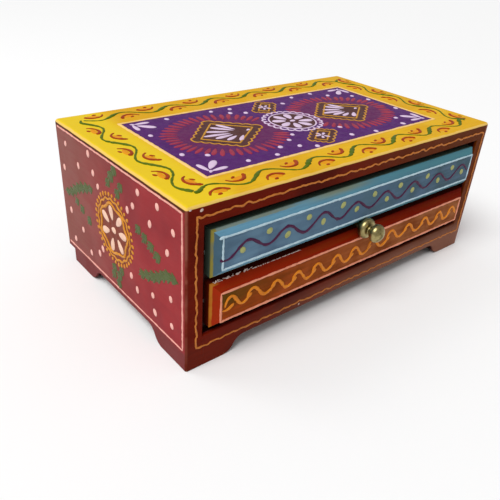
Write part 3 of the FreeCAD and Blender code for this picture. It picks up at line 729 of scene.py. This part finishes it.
# the border of the top is painted side by side, each read from its own edge:
# s runs to the right along the edge, t runs up from it
borderLook = {
    "vineThin": 0.7, "vineSwell": 0.7, "seed": 5,
    "smile": [(-6.6, 0.2), (-5.0, -2.0), (-2.4, -3.4), (0.8, -3.5), (3.4, -2.2), (5.0, -0.2), (5.9, 1.4)],
    "arch": [(-6.2, -2.2), (-4.4, 0.6), (-1.6, 2.2), (1.8, 2.4), (4.4, 1.2), (6.1, -0.8)],
    # the spacing on the front loosens to the right: (s, added)
    "loosening": [(0, 0.4), (85, 1.4), (121, 1.4), (157, 4.4), (254, 5.8)],
    # side: (length, turn, base of the vine, swing, first crest, period, height of smiles, height of
    # arches, how far the arches lag behind the crests)
    "front": (caseWidth, 0, 11.2, 4.7, 22.2, 36.0, 15.2, 7.0, 0.0),
    "left": (caseDepth, -90, 13.0, 4.4, 30.9, 37.4, 18.6, 10.2, 3.2),
    "back": (caseWidth, 180, 13.6, 4.3, 14.0, 36.2, 18.4, 9.6, 0.0),
    "right": (caseDepth, 90, 13.0, 4.3, 21.0, 36.0, 18.4, 9.6, 0.0),
}


def fromEdge(side, s, t):
    if side == "front":
        return (s, t)
    if side == "left":
        return (t, caseDepth - s)
    if side == "back":
        return (caseWidth - s, caseDepth - t)
    return (caseWidth - t, s)


def loosened(side, s):
    steps = borderLook["loosening"]
    if side != "front":
        return 0.0
    for (a, before), (b, after) in zip(steps, steps[1:]):
        if s <= b:
            return before + (after - before) * max(0.0, s - a) / (b - a)
    return steps[-1][1]


def makeTopBorder():
    look = borderLook
    dice = random.Random(look["seed"])
    vines, arcs, dots, glows = [], [], [], []
    for side in ("front", "left", "back", "right"):
        length, turn, base, swing, crest, period, smileAt, archAt, archLag = look[side]
        path, halves = [], []
        start, end = 12.4, length - 13.2
        steps = int((end - start) / 0.9)
        for i in range(steps + 1):
            s = start + (end - start) * i / steps
            phase = 2 * math.pi * (s - loosened(side, s) - crest) / period
            t = base + swing * math.cos(phase) + 0.5 * math.sin(phase * 0.37 + turn)
            t += (11.6 - t) * max(0.0, 1 - (s - start) / 6.0)
            path.append(fromEdge(side, s, t))
            rising = max(0.0, -math.sin(phase))
            halves.append(look["vineThin"] + look["vineSwell"] * rising ** 1.5)
        vines.append((path, halves, False))

        def place(shape, s, t):
            points = smooth([(s + a, t + b) for a, b in shape], step=0.9)
            return [fromEdge(side, a, b) for a, b in points]

        def swelling(count, thin, thick):
            return [thin + (thick - thin) * (i / (count - 1)) ** 0.8 for i in range(count)]

        def spot(found, s, t, long, wide, spin, high):
            u, v = fromEdge(side, s, t)
            found.append((u, v, long, wide, spin + turn, high))

        for k in range(-1, 8):
            hollow = crest + period * (k + 0.5)
            hollow += loosened(side, hollow)
            if 18 < hollow < length - 16:
                s, t = hollow - 1.0 + dice.uniform(-0.6, 0.6), smileAt + dice.uniform(-0.4, 0.4)
                run = place(look["smile"], s, t)
                arcs.append((run, swelling(len(run), 0.55, 1.25), False))
                spot(dots, s + 5.7, t + 1.4, 3.2, 2.4, 60, 0.4)
                spot(dots, s - 1.3, t + 1.1, 3.8, 2.0, 32, 0.4)
                spot(glows, s + 1.0, t - 0.9, 8.6, 4.0, 12, 0.12)
            top = crest + period * k
            top += loosened(side, top)
            if 14 < top < length - 14:
                s, t = top + archLag + dice.uniform(-0.6, 0.6), archAt + dice.uniform(-0.3, 0.3)
                run = place(look["arch"], s, t)
                arcs.append((run, swelling(len(run), 0.55, 1.2), False))
                spot(dots, s + 5.7, t - 0.3, 2.6, 1.9, -50, 0.4)
                spot(dots, s - 1.1, t - 3.1, 3.2, 2.3, 18, 0.4)
                spot(glows, s + 0.8, t - 0.6, 8.6, 3.8, -8, 0.12)
    layOn("topVine", "top", [strokes(vines, "vineGreen", 0.4, 0.7, 0.8)])
    layOn("topCommas", "top", [dabs(glows, "glow", 0.2, 0.8), strokes(arcs, "rust", 0.4, 0.4),
                               dabs(dots, "rust", 0.3, 0.5)])


makeTopBorder()

topField = {"corners": [(28.6, 24.0), (222.2, 25.6), (223.6, 117.4), (29.6, 117.2)], "lineHalf": 1.15,
            "flower": (129.8, 70.2), "flowerRadius": 17.6, "rays": 46, "rayInner": (30.5, 25.0), "rayOuter": (41.6, 36.2),
            "left": [(49.3, 70.6), (72.8, 46.9), (106.6, 72.3), (78.2, 98.6)],
            "right": [(150.1, 69.8), (172.7, 45.4), (205.4, 70.0), (176.5, 93.4)],
            "near": [(111.6, 37.4), (122.6, 25.9), (143.2, 42.2), (130.6, 52.6)],
            "far": [(117.6, 98.0), (130.2, 88.2), (147.0, 106.4), (136.4, 116.4)],
            "fanRoot": (88.6, 68.9), "fanDot": (92.4, 70.4),
            "fanTips": [(60.4, 73.2), (66.2, 79.6), (73.4, 85.2), (79.9, 87.9), (64.8, 66.9), (69.7, 61.4), (76.2, 56.9)]}


def insetQuad(corners, inset):
    made = []
    for i in range(4):
        a, b, c = (Vector(corners[(i + k) % 4]) for k in (-1, 0, 1))
        first, second = (b - a).normalized(), (c - b).normalized()
        inFirst, inSecond = Vector((-first.y, first.x)), Vector((-second.y, second.x))
        half = (inFirst + inSecond).normalized()
        made.append(tuple(b + half * inset / max(0.35, half.dot(inFirst))))
    return made


def closedRun(corners, step):
    return densify(corners + corners[:1], step)[:-1]


def lozenge(corners, bumps, gap, half):
    # an anticlockwise quad: scalloped gold, a dark band, a straight gold line and a dark middle
    outer, inner = insetQuad(corners, 1.3), closedRun(insetQuad(corners, 1.3 + gap), 1.2)
    ground = patch(closedRun(insetQuad(corners, 0.9), 3.0), "umber", 0.1)
    return ground, [scallops(outer + outer[:1], bumps, 1.5, half), (inner, [half * 1.15] * len(inner), True)]


def petal(root, tip, width, high=0.5, short=1.5):
    # a dab from near the root to its round end at the tip
    a, b = Vector(root), Vector(tip)
    way = (b - a).normalized()
    a += way * short
    middle = (a + b) / 2
    return (middle.x, middle.y, (b - a).length, width, math.degrees(math.atan2(way.y, way.x)), high)


def makeTopField():
    look = topField
    dice = random.Random(11)
    corners = look["corners"]
    edge = [(u + dice.uniform(-0.12, 0.12), v + dice.uniform(-0.12, 0.12)) for u, v in closedRun(corners, 2.5)]
    layOn("topPurpleField", "top", [patch(edge, "purple", 0.09, 0.3)])
    rim = closedRun(insetQuad(corners, -0.9), 1.5)
    layOn("topFieldLine", "top", [strokes([(rim, [look["lineHalf"]] * len(rim), True)], "cream", 0.3, 0.5, 0.6)])

    # short red strokes stand out all round the large lozenges
    def inField(p):
        return corners[0][0] + 2 < p[0] < corners[2][0] - 1.5 and corners[0][1] + 2 < p[1] < corners[2][1] - 2

    rays, halos = [], []
    for key in ("left", "right"):
        middle = sum((Vector(p) for p in look[key]), Vector((0, 0))) / 4
        for k in range(look["rays"]):
            turn = 2 * math.pi * (k + dice.uniform(-0.12, 0.12)) / look["rays"]
            near = Vector((look["rayInner"][0] * math.cos(turn), look["rayInner"][1] * math.sin(turn)))
            far = Vector((look["rayOuter"][0] * math.cos(turn), look["rayOuter"][1] * math.sin(turn)))
            far = near.lerp(far, dice.uniform(0.88, 1.08))
            at = middle + far
            if not inField(at):
                continue
            if (at - Vector(look["flower"])).length < look["flowerRadius"] + 3.5:
                continue
            rays.append(petal(middle + near, middle + far, dice.uniform(3.4, 4.2), 0.4, 0.0))
        glow = [(middle.x + 38.5 * math.cos(math.radians(a)), middle.y + 32.2 * math.sin(math.radians(a))) for a in range(0, 360, 5)]
        halos.append(patch([p for p in glow if inField(p)], "plumGround", 0.05, 0.6))
    layOn("topSunbursts", "top", halos + [dabs(rays, "rose", 0.45, 0.6)], lift=0.05)

    grounds, gold, fans = [], [], []
    for key, bumps, gap, half in (("left", 6, 4.2, 0.58), ("right", 6, 4.2, 0.58), ("near", 4, 3.0, 0.5), ("far", 4, 3.0, 0.5)):
        ground, lines = lozenge(look[key], bumps, gap, half)
        grounds.append(ground)
        gold += lines
    layOn("topLozengeGrounds", "top", grounds, lift=0.07)
    layOn("topLozengeLines", "top", [strokes(gold, "gold", 0.45, 0.35, 0.5)], lift=0.12)

    # a fan of petals in each large lozenge, spreading from near its right corner
    base = Vector(look["left"][0])
    for key, narrow in (("left", 1.0), ("right", 0.95)):
        def at(point):
            out = (Vector(point) - base) * narrow
            return Vector(look[key][0]) + out
        for tip in look["fanTips"]:
            fans.append(petal(at(look["fanRoot"]), at(tip), dice.uniform(3.9, 4.6), 0.55, 6.5 if tip[0] > 70 else 9.5))
        dot = at(look["fanDot"])
        fans.append((dot.x, dot.y, 3.6, 2.8, 20, 0.5))
    for key in ("near", "far"):
        middle = sum((Vector(p) for p in look[key]), Vector((0, 0))) / 4
        for turn in (35, 100, 165, 230, 295):
            way = math.radians(turn)
            fans.append((middle.x + 2.9 * math.cos(way), middle.y + 2.9 * math.sin(way), 4.6, 2.6, turn, 0.45))
    layOn("topFans", "top", [dabs(fans, "white", 0.55, 0.5)], lift=0.12)

    # the flower in the middle, in its ring of small loops
    fu, fv = look["flower"]
    radius = look["flowerRadius"]
    bloom = [(fu, fv, 4.4, 4.0, 0, 0.7)]
    for k in range(8):
        turn = 22 + 45 * k
        way = math.radians(turn)
        bloom.append((fu + 9.2 * math.cos(way), fv + 9.2 * math.sin(way), 10.2, 6.4, turn + dice.uniform(-5, 5), 0.65))
    loops = []
    for k in range(24):
        way = 360 * k / 24
        centre = (fu + (radius + 0.4) * math.cos(math.radians(way)), fv + (radius + 0.4) * math.sin(math.radians(way)))
        loops.append(line(arc(centre, 2.2, way - 105, way + 105, 25), 0.62))
    ringPath = arc((fu, fv), radius - 1.9, 0, 354, 5)
    layOn("topFlowerGround", "top", [patch(arc((fu, fv), radius - 1.6, 0, 354, 6), "umber", 0.1)], lift=0.1)
    layOn("topFlower", "top", [dabs(bloom, "white", 0.45, 0.35),
                               strokes(loops + [(ringPath, [0.6] * len(ringPath), True)], "white", 0.5, 0.3, 0.5)],
          lift=0.12)

    # lilies in the corners and loose dots between
    lily = []
    for corner, across, up in ((0, 1, 1), (1, -1, 1), (2, -1, -1), (3, 1, -1)):
        cu, cv = corners[corner]
        for u, v, length, width, turn in ((11.6, 5.0, 11.0, 4.2, 2), (11.4, 11.6, 12.8, 5.8, 43), (4.6, 10.6, 10.8, 4.1, 95),
                                          (5.4, 4.4, 3.4, 2.8, 45)):
            turned = math.degrees(math.atan2(up * math.sin(math.radians(turn)), across * math.cos(math.radians(turn))))
            lily.append((cu + across * u, cv + up * v, length, width, turned, 0.55))
    spots = [(34.7, 90.1), (33.9, 55.4), (45.7, 47.8), (60.1, 30.0), (59.3, 112.1), (80.1, 28.8), (89.7, 37.1),
             (102.4, 43.5), (101.3, 32.9), (110.9, 49.8), (110.4, 27.4), (93.6, 111.6), (103.3, 103.1), (108.4, 110.4),
             (113.1, 98.6), (144.8, 31.2), (148.9, 45.2), (164.3, 27.8), (150.9, 103.3), (167.6, 112.1), (188.0, 113.2),
             (197.4, 103.4), (214.2, 93.5), (218.4, 80.8), (219.3, 55.4), (199.8, 39.8), (193.9, 29.1)]
    dots = [(u, v, dice.uniform(3.4, 4.4), dice.uniform(2.9, 3.4), dice.uniform(40, 110), 0.55) for u, v in spots]
    layOn("topLilies", "top", [dabs(lily, "white", 0.5, 0.4)], lift=0.09)
    layOn("topDots", "top", [dabs(dots, "white", 0.0, 0.4)], lift=0.09)


makeTopField()
print("top decorated")

# the side pattern, read from the front edge of the box: (y, z)
sidePattern = {
    "topLine": 94.2, "lowLine": 12.9, "frontLine": 3.2, "backLine": 3.6, "lineHalf": 0.6, "seed": 21,
    "medallion": (74.7, 52.4), "petalTurns": (29.5, 80.5, 131, 176, 227, 283, 338), "petalReach": 10.6,
    "ring": 15.6, "middleRing": 18.9, "flames": 36,
    "dots": [(133.4, 85.9), (101.3, 90.0), (116.8, 77.2), (96.7, 79.8), (91.7, 73.1), (139.0, 68.5),
             (135.7, 39.6), (119.1, 32.3), (133.2, 19.3), (109.4, 20.0), (96.7, 25.9), (91.7, 31.5),
             (56.3, 31.2), (49.9, 25.0), (30.7, 20.8), (32.4, 31.3), (14.0, 39.6), (13.4, 22.5),
             (16.8, 66.2), (33.2, 75.0), (25.3, 88.0), (44.5, 88.2), (50.5, 78.0), (56.7, 73.1), (11.0, 80.1)],
    # leaves: (y, z, length, width, turn)
    "leaves": [(46.0, 66.0, 7.6, 3.2, -52), (39.6, 63.6, 8.0, 3.4, -46), (33.2, 61.4, 8.4, 3.4, -42), (27.0, 58.4, 8.8, 3.6, -36),
               (12.0, 53.4, 10.0, 3.2, -4), (17.6, 52.0, 9.0, 3.8, -20), (22.4, 49.4, 8.6, 3.6, -34), (27.2, 46.2, 8.8, 3.8, -32),
               (32.4, 43.6, 8.8, 3.8, -28), (38.0, 41.2, 8.8, 3.6, -24), (43.6, 39.2, 8.0, 3.2, -30),
               (103.0, 67.0, 7.6, 3.0, -22), (109.0, 65.4, 9.0, 3.6, -20), (115.2, 63.4, 9.2, 3.8, -24),
               (121.0, 60.8, 9.2, 3.8, -30), (126.6, 57.4, 9.0, 3.8, -34), (131.8, 54.2, 8.6, 3.4, -30), (137.6, 52.2, 8.0, 2.8, -10),
               (124.6, 50.2, 7.4, 3.0, -38), (117.6, 47.6, 7.6, 3.2, -44), (108.4, 43.6, 7.8, 3.4, -48),
               (70.2, 90.6, 8.0, 3.4, -58), (74.6, 85.6, 9.0, 3.6, -56), (78.4, 80.8, 7.6, 3.0, -48), (64.0, 83.0, 7.4, 3.2, -52),
               (67.8, 78.0, 7.8, 3.2, -50), (68.4, 27.6, 7.6, 3.2, -56), (71.4, 22.6, 8.2, 3.6, -62), (72.6, 16.4, 8.0, 3.4, -80),
               (77.4, 25.4, 7.8, 3.2, -64), (78.6, 20.4, 7.6, 3.2, -66)],
}


def makeSide(face, name, toU):
    look = sidePattern
    dice = random.Random(look["seed"])
    flip = toU(1.0) < toU(0.0)

    def turned(degrees):
        return 180 - degrees if flip else degrees

    def at(reach, degrees):
        way = math.radians(degrees)
        return (toU(look["medallion"][0] + reach * math.cos(way)), look["medallion"][1] + reach * math.sin(way))

    def closedLine(points):
        return points[::-1] if flip else points

    backEnd, frontEnd = sorted((toU(caseDepth - look["backLine"]), toU(look["frontLine"])), key=lambda u: abs(u - toU(caseDepth)))
    box = densify([(backEnd, look["lowLine"]), (frontEnd, look["lowLine"]), (frontEnd, look["topLine"]),
                   (backEnd, look["topLine"])], 1.5)
    layOn(name + "BorderLine", face, [strokes([line(box, look["lineHalf"])], "pinkLine", 0.5, 0.7, 0.9)])

    lobes, middle, flames = [], [], []
    for i in range(140):
        turn = 360 * i / 140
        nearest = min(abs((turn - a + 180) % 360 - 180) for a in look["petalTurns"])
        lobes.append(at(look["ring"] + 0.9 * math.cos(math.radians(min(nearest, 26) * 7)), turn))
        middle.append(at(look["middleRing"] + 0.5 * math.sin(math.radians(turn * look["flames"] / 2)), turn))
    for k in range(look["flames"]):
        turn = 360 * k / look["flames"]
        flames.append(petal(at(20.3, turn), at(23.1 + dice.uniform(-0.4, 0.4), turn + 2), 2.5, 0.4, 0.0))
    layOn(name + "MedallionGround", face, [patch(closedLine([at(21.4 + 0.8 * math.sin(turn), turn) for turn in range(0, 360, 5)]),
                                                "ember", 0.07, 0.5)])
    layOn(name + "MedallionRings", face, [
        strokes([(lobes, [0.95] * len(lobes), True), (middle, [0.7] * len(middle), True)], "marigold", 0.5, 0.4, 0.8),
        dabs(flames, "marigold", 0.3, 0.4)], lift=0.06)
    petals = [(*at(0, 0), 5.6, 5.2, 0, 0.7)]
    for turn in look["petalTurns"]:
        petals.append((*at(look["petalReach"], turn), 9.4, 6.0, turned(turn + dice.uniform(-4, 4)), 0.7))
    layOn(name + "Petals", face, [dabs(petals, "petalBlush", 0.45, 0.5)], lift=0.1)
    leaves = []
    for y, z, length, width, turn in look["leaves"]:
        way = math.radians(turn)
        for side, share in ((0, 1.2), (1, 0.9), (-1, 0.9), (2, 0.6), (-2, 0.6)):
            # a middle blade and shorter ones on each side of it
            out, back = side * 0.3 * width, -0.07 * abs(side) * length
            leaves.append((toU(y - out * math.sin(way) + back * math.cos(way)),
                           z + out * math.cos(way) + back * math.sin(way),
                           length * share, width * 0.62, turned(turn + 15 * side + dice.uniform(-7, 7)), 0.25))
    layOn(name + "Ferns", face, [dabs(leaves, "fern", 0.4, 1.1)])
    spots = [(toU(y), z, dice.uniform(4.0, 5.0), dice.uniform(3.2, 3.9), 90 + dice.uniform(-25, 25), 0.5) for y, z in look["dots"]]
    layOn(name + "Dots", face, [dabs(spots, "blush", 0.1, 0.5)])


makeSide("left", "leftSide", lambda y: caseDepth - y)
makeSide("right", "rightSide", lambda y: y)

backPattern = {"inset": 3.4, "rows": 4, "columns": 13, "pitch": 18.8, "rowGap": 20.5, "low": 22.5, "seed": 34}


def makeBack():
    look = backPattern
    dice = random.Random(look["seed"])
    low, high = (look["inset"], sidePattern["lowLine"]), (caseWidth - look["inset"], sidePattern["topLine"])
    ring = closedRun([low, (high[0], low[1]), high, (low[0], high[1])], 1.5)
    layOn("backBorderLine", "back", [strokes([(ring, [sidePattern["lineHalf"]] * len(ring), True)], "pinkLine", 0.5, 0.7, 0.9)])
    spots = []
    for row in range(look["rows"]):
        for column in range(look["columns"]):
            u = 14 + column * look["pitch"] + (look["pitch"] / 2 if row % 2 else 0)
            if u > caseWidth - 12:
                continue
            spots.append((u + dice.uniform(-1.5, 1.5), look["low"] + row * look["rowGap"] + dice.uniform(-1.5, 1.5),
                          dice.uniform(4.0, 5.0), 3.5, 90 + dice.uniform(-25, 25), 0.5))
    layOn("backDots", "back", [dabs(spots, "blush", 0.1, 0.5)])


makeBack()
print("sides decorated")

# the front: a wandering line on the frame, and the two painted panels
frontLine = {"low": (6.2, 13.2), "high": (250.0, 91.2), "half": 0.58, "wander": 3.6}
frameRing = closedRun([frontLine["low"], (frontLine["high"][0], frontLine["low"][1]), frontLine["high"],
                       (frontLine["low"][0], frontLine["high"][1])], 1.0)
nicks = [(8.6, 94.7, 2.0, 1.5, 30, 0.25), (81.6, 11.4, 1.6, 1.0, 70, 0.2), (2.4, 96.2, 1.6, 0.9, 20, 0.2)]
layOn("frontFrameLine", "front", [strokes([(frameRing, [frontLine["half"]] * len(frameRing), True)], "ochre", 0.55,
                                          frontLine["wander"], 0.8), dabs(nicks, "fleck", 0.0, 0.5)])

panelWidth = (upperHigh.x - upperLow.x) / mm
panelHeight = (upperHigh.z - upperLow.z) / mm
upperLook = {"rim": bluePanel["rim"], "rimHalf": 0.66, "start": 3.4, "end": 218.5, "crest": 20.3, "period": 27.2,
             "middle": 14.0, "swing": 3.7, "waveHalf": 0.82, "dot": 4.3,
             "lowDots": [17.4, 48.2, 74.7, 103.1, 131.0, 156.4, 184.4, 212.3], "lowAt": 12.6,
             "highDots": [34.0, 62.4, 89.9, 117.8, 142.8, 170.2, 198.6], "highAt": 18.6, "seed": 8}
lowerLook = {"rim": orangePanel["rim"], "rimHalf": 0.72, "scrollHalf": 0.98,
             "crestAt": [17.9, 17.6, 15.9, 15.7, 15.6, 15.8, 16.0, 16.5, 17.6, 16.8, 16.7, 16.5, 16.4],
             "crests": [11.0, 25.7, 42.8, 59.0, 74.7, 91.3, 107.5, 124.1, 142.7, 160.9, 179.5, 196.6, 212.0],
             "tail": [(-5.4, -7.4), (-3.4, -7.9), (-1.2, -7.4), (1.4, -6.0)],
             # one scroll, up from its hook over the crest, down and up again under the next one
             "scroll": [(-3.6, -5.8), (-3.1, -3.4), (-1.7, -1.0), (0.4, 0.0), (2.5, -0.9), (4.7, -3.8), (6.7, -6.4),
                        (8.7, -7.4), (10.9, -6.9), (13.0, -5.5), (14.9, -3.9)]}


def rimPath(left, below, right, above):
    low, high = (left, below), (panelWidth - right, panelHeight - above)
    return closedRun([low, (high[0], low[1]), high, (low[0], high[1])], 1.5)


def makeUpperPanel():
    look = upperLook
    dice = random.Random(look["seed"])
    rim = rimPath(*look["rim"])
    wave = []
    count = int((look["end"] - look["start"]) / 1.4)
    for i in range(count + 1):
        u = look["start"] + (look["end"] - look["start"]) * i / count
        phase = 2 * math.pi * (u - look["crest"]) / look["period"]
        wave.append((u, look["middle"] + look["swing"] * math.cos(phase) + 0.4 * math.sin(phase * 0.61)))
    dots = []
    for row, v in (("lowDots", look["lowAt"]), ("highDots", look["highAt"])):
        for u in look[row]:
            dots.append((u + dice.uniform(-0.5, 0.5), v + dice.uniform(-0.4, 0.4), look["dot"] * dice.uniform(0.94, 1.1),
                         look["dot"] * 0.86, dice.uniform(0, 180), 0.5))
    corner = [(look["rim"][0] - 0.8, panelHeight - look["rim"][3] + 0.2, 3.6, 1.8, 8, 0.5)]
    layOn("upperPanelRim", "upperField", [strokes([(rim, [look["rimHalf"]] * len(rim), True)], "skyWhite", 0.45, 0.5, 0.8),
                                          dabs(corner, "skyWhite")], "drawer")
    layOn("upperPanelWave", "upperField", [strokes([line(wave, look["waveHalf"])], "plum", 0.45, 0.8, 0.8)],
          "drawer")
    layOn("upperPanelDots", "upperField", [dabs(dots, "lime", 0.0, 0.7)], "drawer")


def makeLowerPanel():
    look = lowerLook
    rim = rimPath(*look["rim"])
    last = panelWidth - look["rim"][2] - 1.2
    paths, blobs = [], []
    for k, crest in enumerate(look["crests"]):
        following = look["crests"][k + 1] if k + 1 < len(look["crests"]) else crest + 16.5
        stretch = (following - crest) / 16.4
        shapes = [look["tail"], look["scroll"]] if k == 0 else [look["scroll"]]
        for shape in shapes:
            run = [(crest + (a * stretch if a > 0 else a), look["crestAt"][k] + b) for a, b in shape]
            inside = [p for p in run if p[0] < last]
            paths.append(line(smooth(inside, step=0.9), look["scrollHalf"], taper=True))
            if len(inside) == len(run):
                blobs.append((run[-1][0] - 0.6, run[-1][1] - 0.4, 4.2, 2.5, 38, 0.5))
    layOn("lowerPanelRim", "lowerField", [strokes([(rim, [look["rimHalf"]] * len(rim), True)], "salmon", 0.45, 0.5, 0.8)],
          "drawer")
    layOn("lowerPanelScroll", "lowerField", [strokes(paths, "amber", 0.45, 0.5, 0.8), dabs(blobs, "amber", 0.2, 0.4)],
          "drawer")


def makeSeamFlecks():
    # pale flecks along the left of the lower panel's upper arris
    dice = random.Random(17)
    flecks = []
    for k in range(190):
        u = 2.0 + 61 * dice.random() ** 1.2
        spread = 0.3 if u > 28 else 1.3
        flecks.append((u, dice.uniform(-spread, spread) - 0.25, dice.uniform(0.6, 1.9), dice.uniform(0.35, 0.8),
                       dice.uniform(-30, 30), 0.28))
    layOn("seamFlecks", "panelArris", [dabs(flecks, "fleck", 0.0, 0.4)], "drawer")


makeUpperPanel()
makeLowerPanel()
makeSeamFlecks()
print("front decorated,", pieceCount[0], "painted pieces")

# the velvet in the drawer
velvetLook = {"nap": tone(124, 12, 26), "shade": tone(70, 4, 14), "cells": 3.0}


def makeVelvet():
    made, tree, shader, place = newMaterial("redVelvet")
    brushed = grain(tree, place, 26, 3.0, 0.5, (1, 0.5, 1), 0.8)
    pile = grain(tree, place, 2600, 2.0)
    colour = blendColour(tree, fade(tree, brushed, 0.35, 0.68), velvetLook["nap"], velvetLook["shade"])
    colour = blendColour(tree, fade(tree, pile, 0.4, 0.7, 0.0, 0.45), colour, velvetLook["shade"])
    setShader(tree, shader, colour, 0.85, [(brushed, 0.5), (pile, 0.12)], Sheen_Weight=0.6, Sheen_Roughness=0.35,
              Sheen_Tint=tone(240, 120, 130), Specular_IOR_Level=0.2)
    return made


def makeLiner():
    low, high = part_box("drawer_liner")
    dice = random.Random(3)
    made = bmesh.new()
    across, along = int((high.x - low.x) / (velvetLook["cells"] * mm)), int((high.y - low.y) / (velvetLook["cells"] * mm))
    thick = high.z - low.z
    ripples = [(dice.uniform(20, 60), dice.uniform(-40, 40), dice.uniform(0, 6)) for k in range(4)]

    def lift(x, y):
        edge = min(x - low.x, high.x - x, y - low.y, high.y - y)
        soft = sum(math.sin(a * x * 2 + b * y * 2 + c) for a, b, c in ripples) / 4
        return thick * (0.8 + 0.12 * soft * min(1.0, edge / (8 * mm)) + 0.35 * math.exp(-((edge - 1.4 * mm) / (1.2 * mm)) ** 2))

    rows = []
    for j in range(along + 1):
        y = low.y + (high.y - low.y) * j / along
        rows.append([made.verts.new((low.x + (high.x - low.x) * i / across, y, low.z + lift(low.x + (high.x - low.x) * i / across, y)))
                     for i in range(across + 1)])
    for j in range(along):
        for i in range(across):
            made.faces.new((rows[j][i], rows[j][i + 1], rows[j + 1][i + 1], rows[j + 1][i])).smooth = True
    rim = rows[0] + [r[-1] for r in rows[1:]] + rows[-1][-2::-1] + [r[0] for r in rows[-2:0:-1]]
    foot = [made.verts.new((v.co.x, v.co.y, low.z)) for v in rim]
    for i in range(len(rim)):
        j = (i + 1) % len(rim)
        made.faces.new((foot[i], foot[j], rim[j], rim[i])).smooth = True
    made.faces.new(foot[::-1])
    mesh = bpy.data.meshes.new("velvetLining")
    made.to_mesh(mesh)
    made.free()
    mesh.materials.append(makeVelvet())
    piece = bpy.data.objects.new("velvetLining", mesh)
    bpy.context.scene.collection.objects.link(piece)
    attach(piece, "drawer")
    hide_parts("drawer_liner")


makeLiner()
print("drawer lined")

# floor, light and camera
stageLook = {"floor": tone(250, 250, 250), "world": (1.0, 1.0, 1.0, 1.0), "worldStrength": 0.42,
             "sun": {"from": (-0.5, -0.12, 0.86), "strength": 2.1, "angle": 35},
             "panel": {"at": (-0.5, 0.5, 0.9), "size": 0.35, "power": 1.2},
             "cameraFromCorner": (-0.12400, -0.18796, 0.21049), "cameraTurn": (59.387, -3.391, -39.013), "lens": 40.2}


def makeStage():
    look = stageLook
    for left in [o for o in bpy.context.scene.objects if o.name in ("Cube", "Light", "Camera")]:
        bpy.data.objects.remove(left)
    mesh = bpy.data.meshes.new("floor")
    mesh.from_pydata([(-6, -6, 0), (6, -6, 0), (6, 6, 0), (-6, 6, 0)], [], [(0, 1, 2, 3)])
    floor = bpy.data.objects.new("floor", mesh)
    floor.location.z = -0.0002
    bpy.context.scene.collection.objects.link(floor)
    made = bpy.data.materials.new("paleFloor")
    made.use_nodes = True
    shader = made.node_tree.nodes["Principled BSDF"]
    shader.inputs["Base Color"].default_value = look["floor"]
    shader.inputs["Roughness"].default_value = 0.9
    shader.inputs["Specular IOR Level"].default_value = 0.1
    mesh.materials.append(made)

    world = bpy.data.worlds.new("studio")
    world.use_nodes = True
    bpy.context.scene.world = world
    backing = world.node_tree.nodes["Background"]
    backing.inputs["Color"].default_value = look["world"]
    backing.inputs["Strength"].default_value = look["worldStrength"]

    sun = bpy.data.lights.new("softSun", "SUN")
    sun.energy, sun.angle = look["sun"]["strength"], math.radians(look["sun"]["angle"])
    panel = bpy.data.lights.new("lampPanel", "AREA")
    panel.size, panel.energy = look["panel"]["size"], look["panel"]["power"]
    for lamp, at in ((sun, look["sun"]["from"]), (panel, look["panel"]["at"])):
        holder = bpy.data.objects.new(lamp.name, lamp)
        holder.location = at
        holder.rotation_euler = (Vector((0, 0, 0.05)) - holder.location).to_track_quat("-Z", "Y").to_euler()
        bpy.context.scene.collection.objects.link(holder)

    camera = bpy.data.objects.new("camera", bpy.data.cameras.new("camera"))
    camera.data.lens, camera.data.sensor_width = look["lens"], 36
    camera.data.clip_start, camera.data.clip_end = 0.01, 50
    camera.location = Vector((caseLeft, caseFront, 0)) + Vector(look["cameraFromCorner"])
    camera.rotation_euler = Euler([math.radians(a) for a in look["cameraTurn"]])
    bpy.context.scene.collection.objects.link(camera)
    bpy.context.scene.camera = camera
    bpy.context.scene.view_settings.view_transform = "Standard"


makeStage()
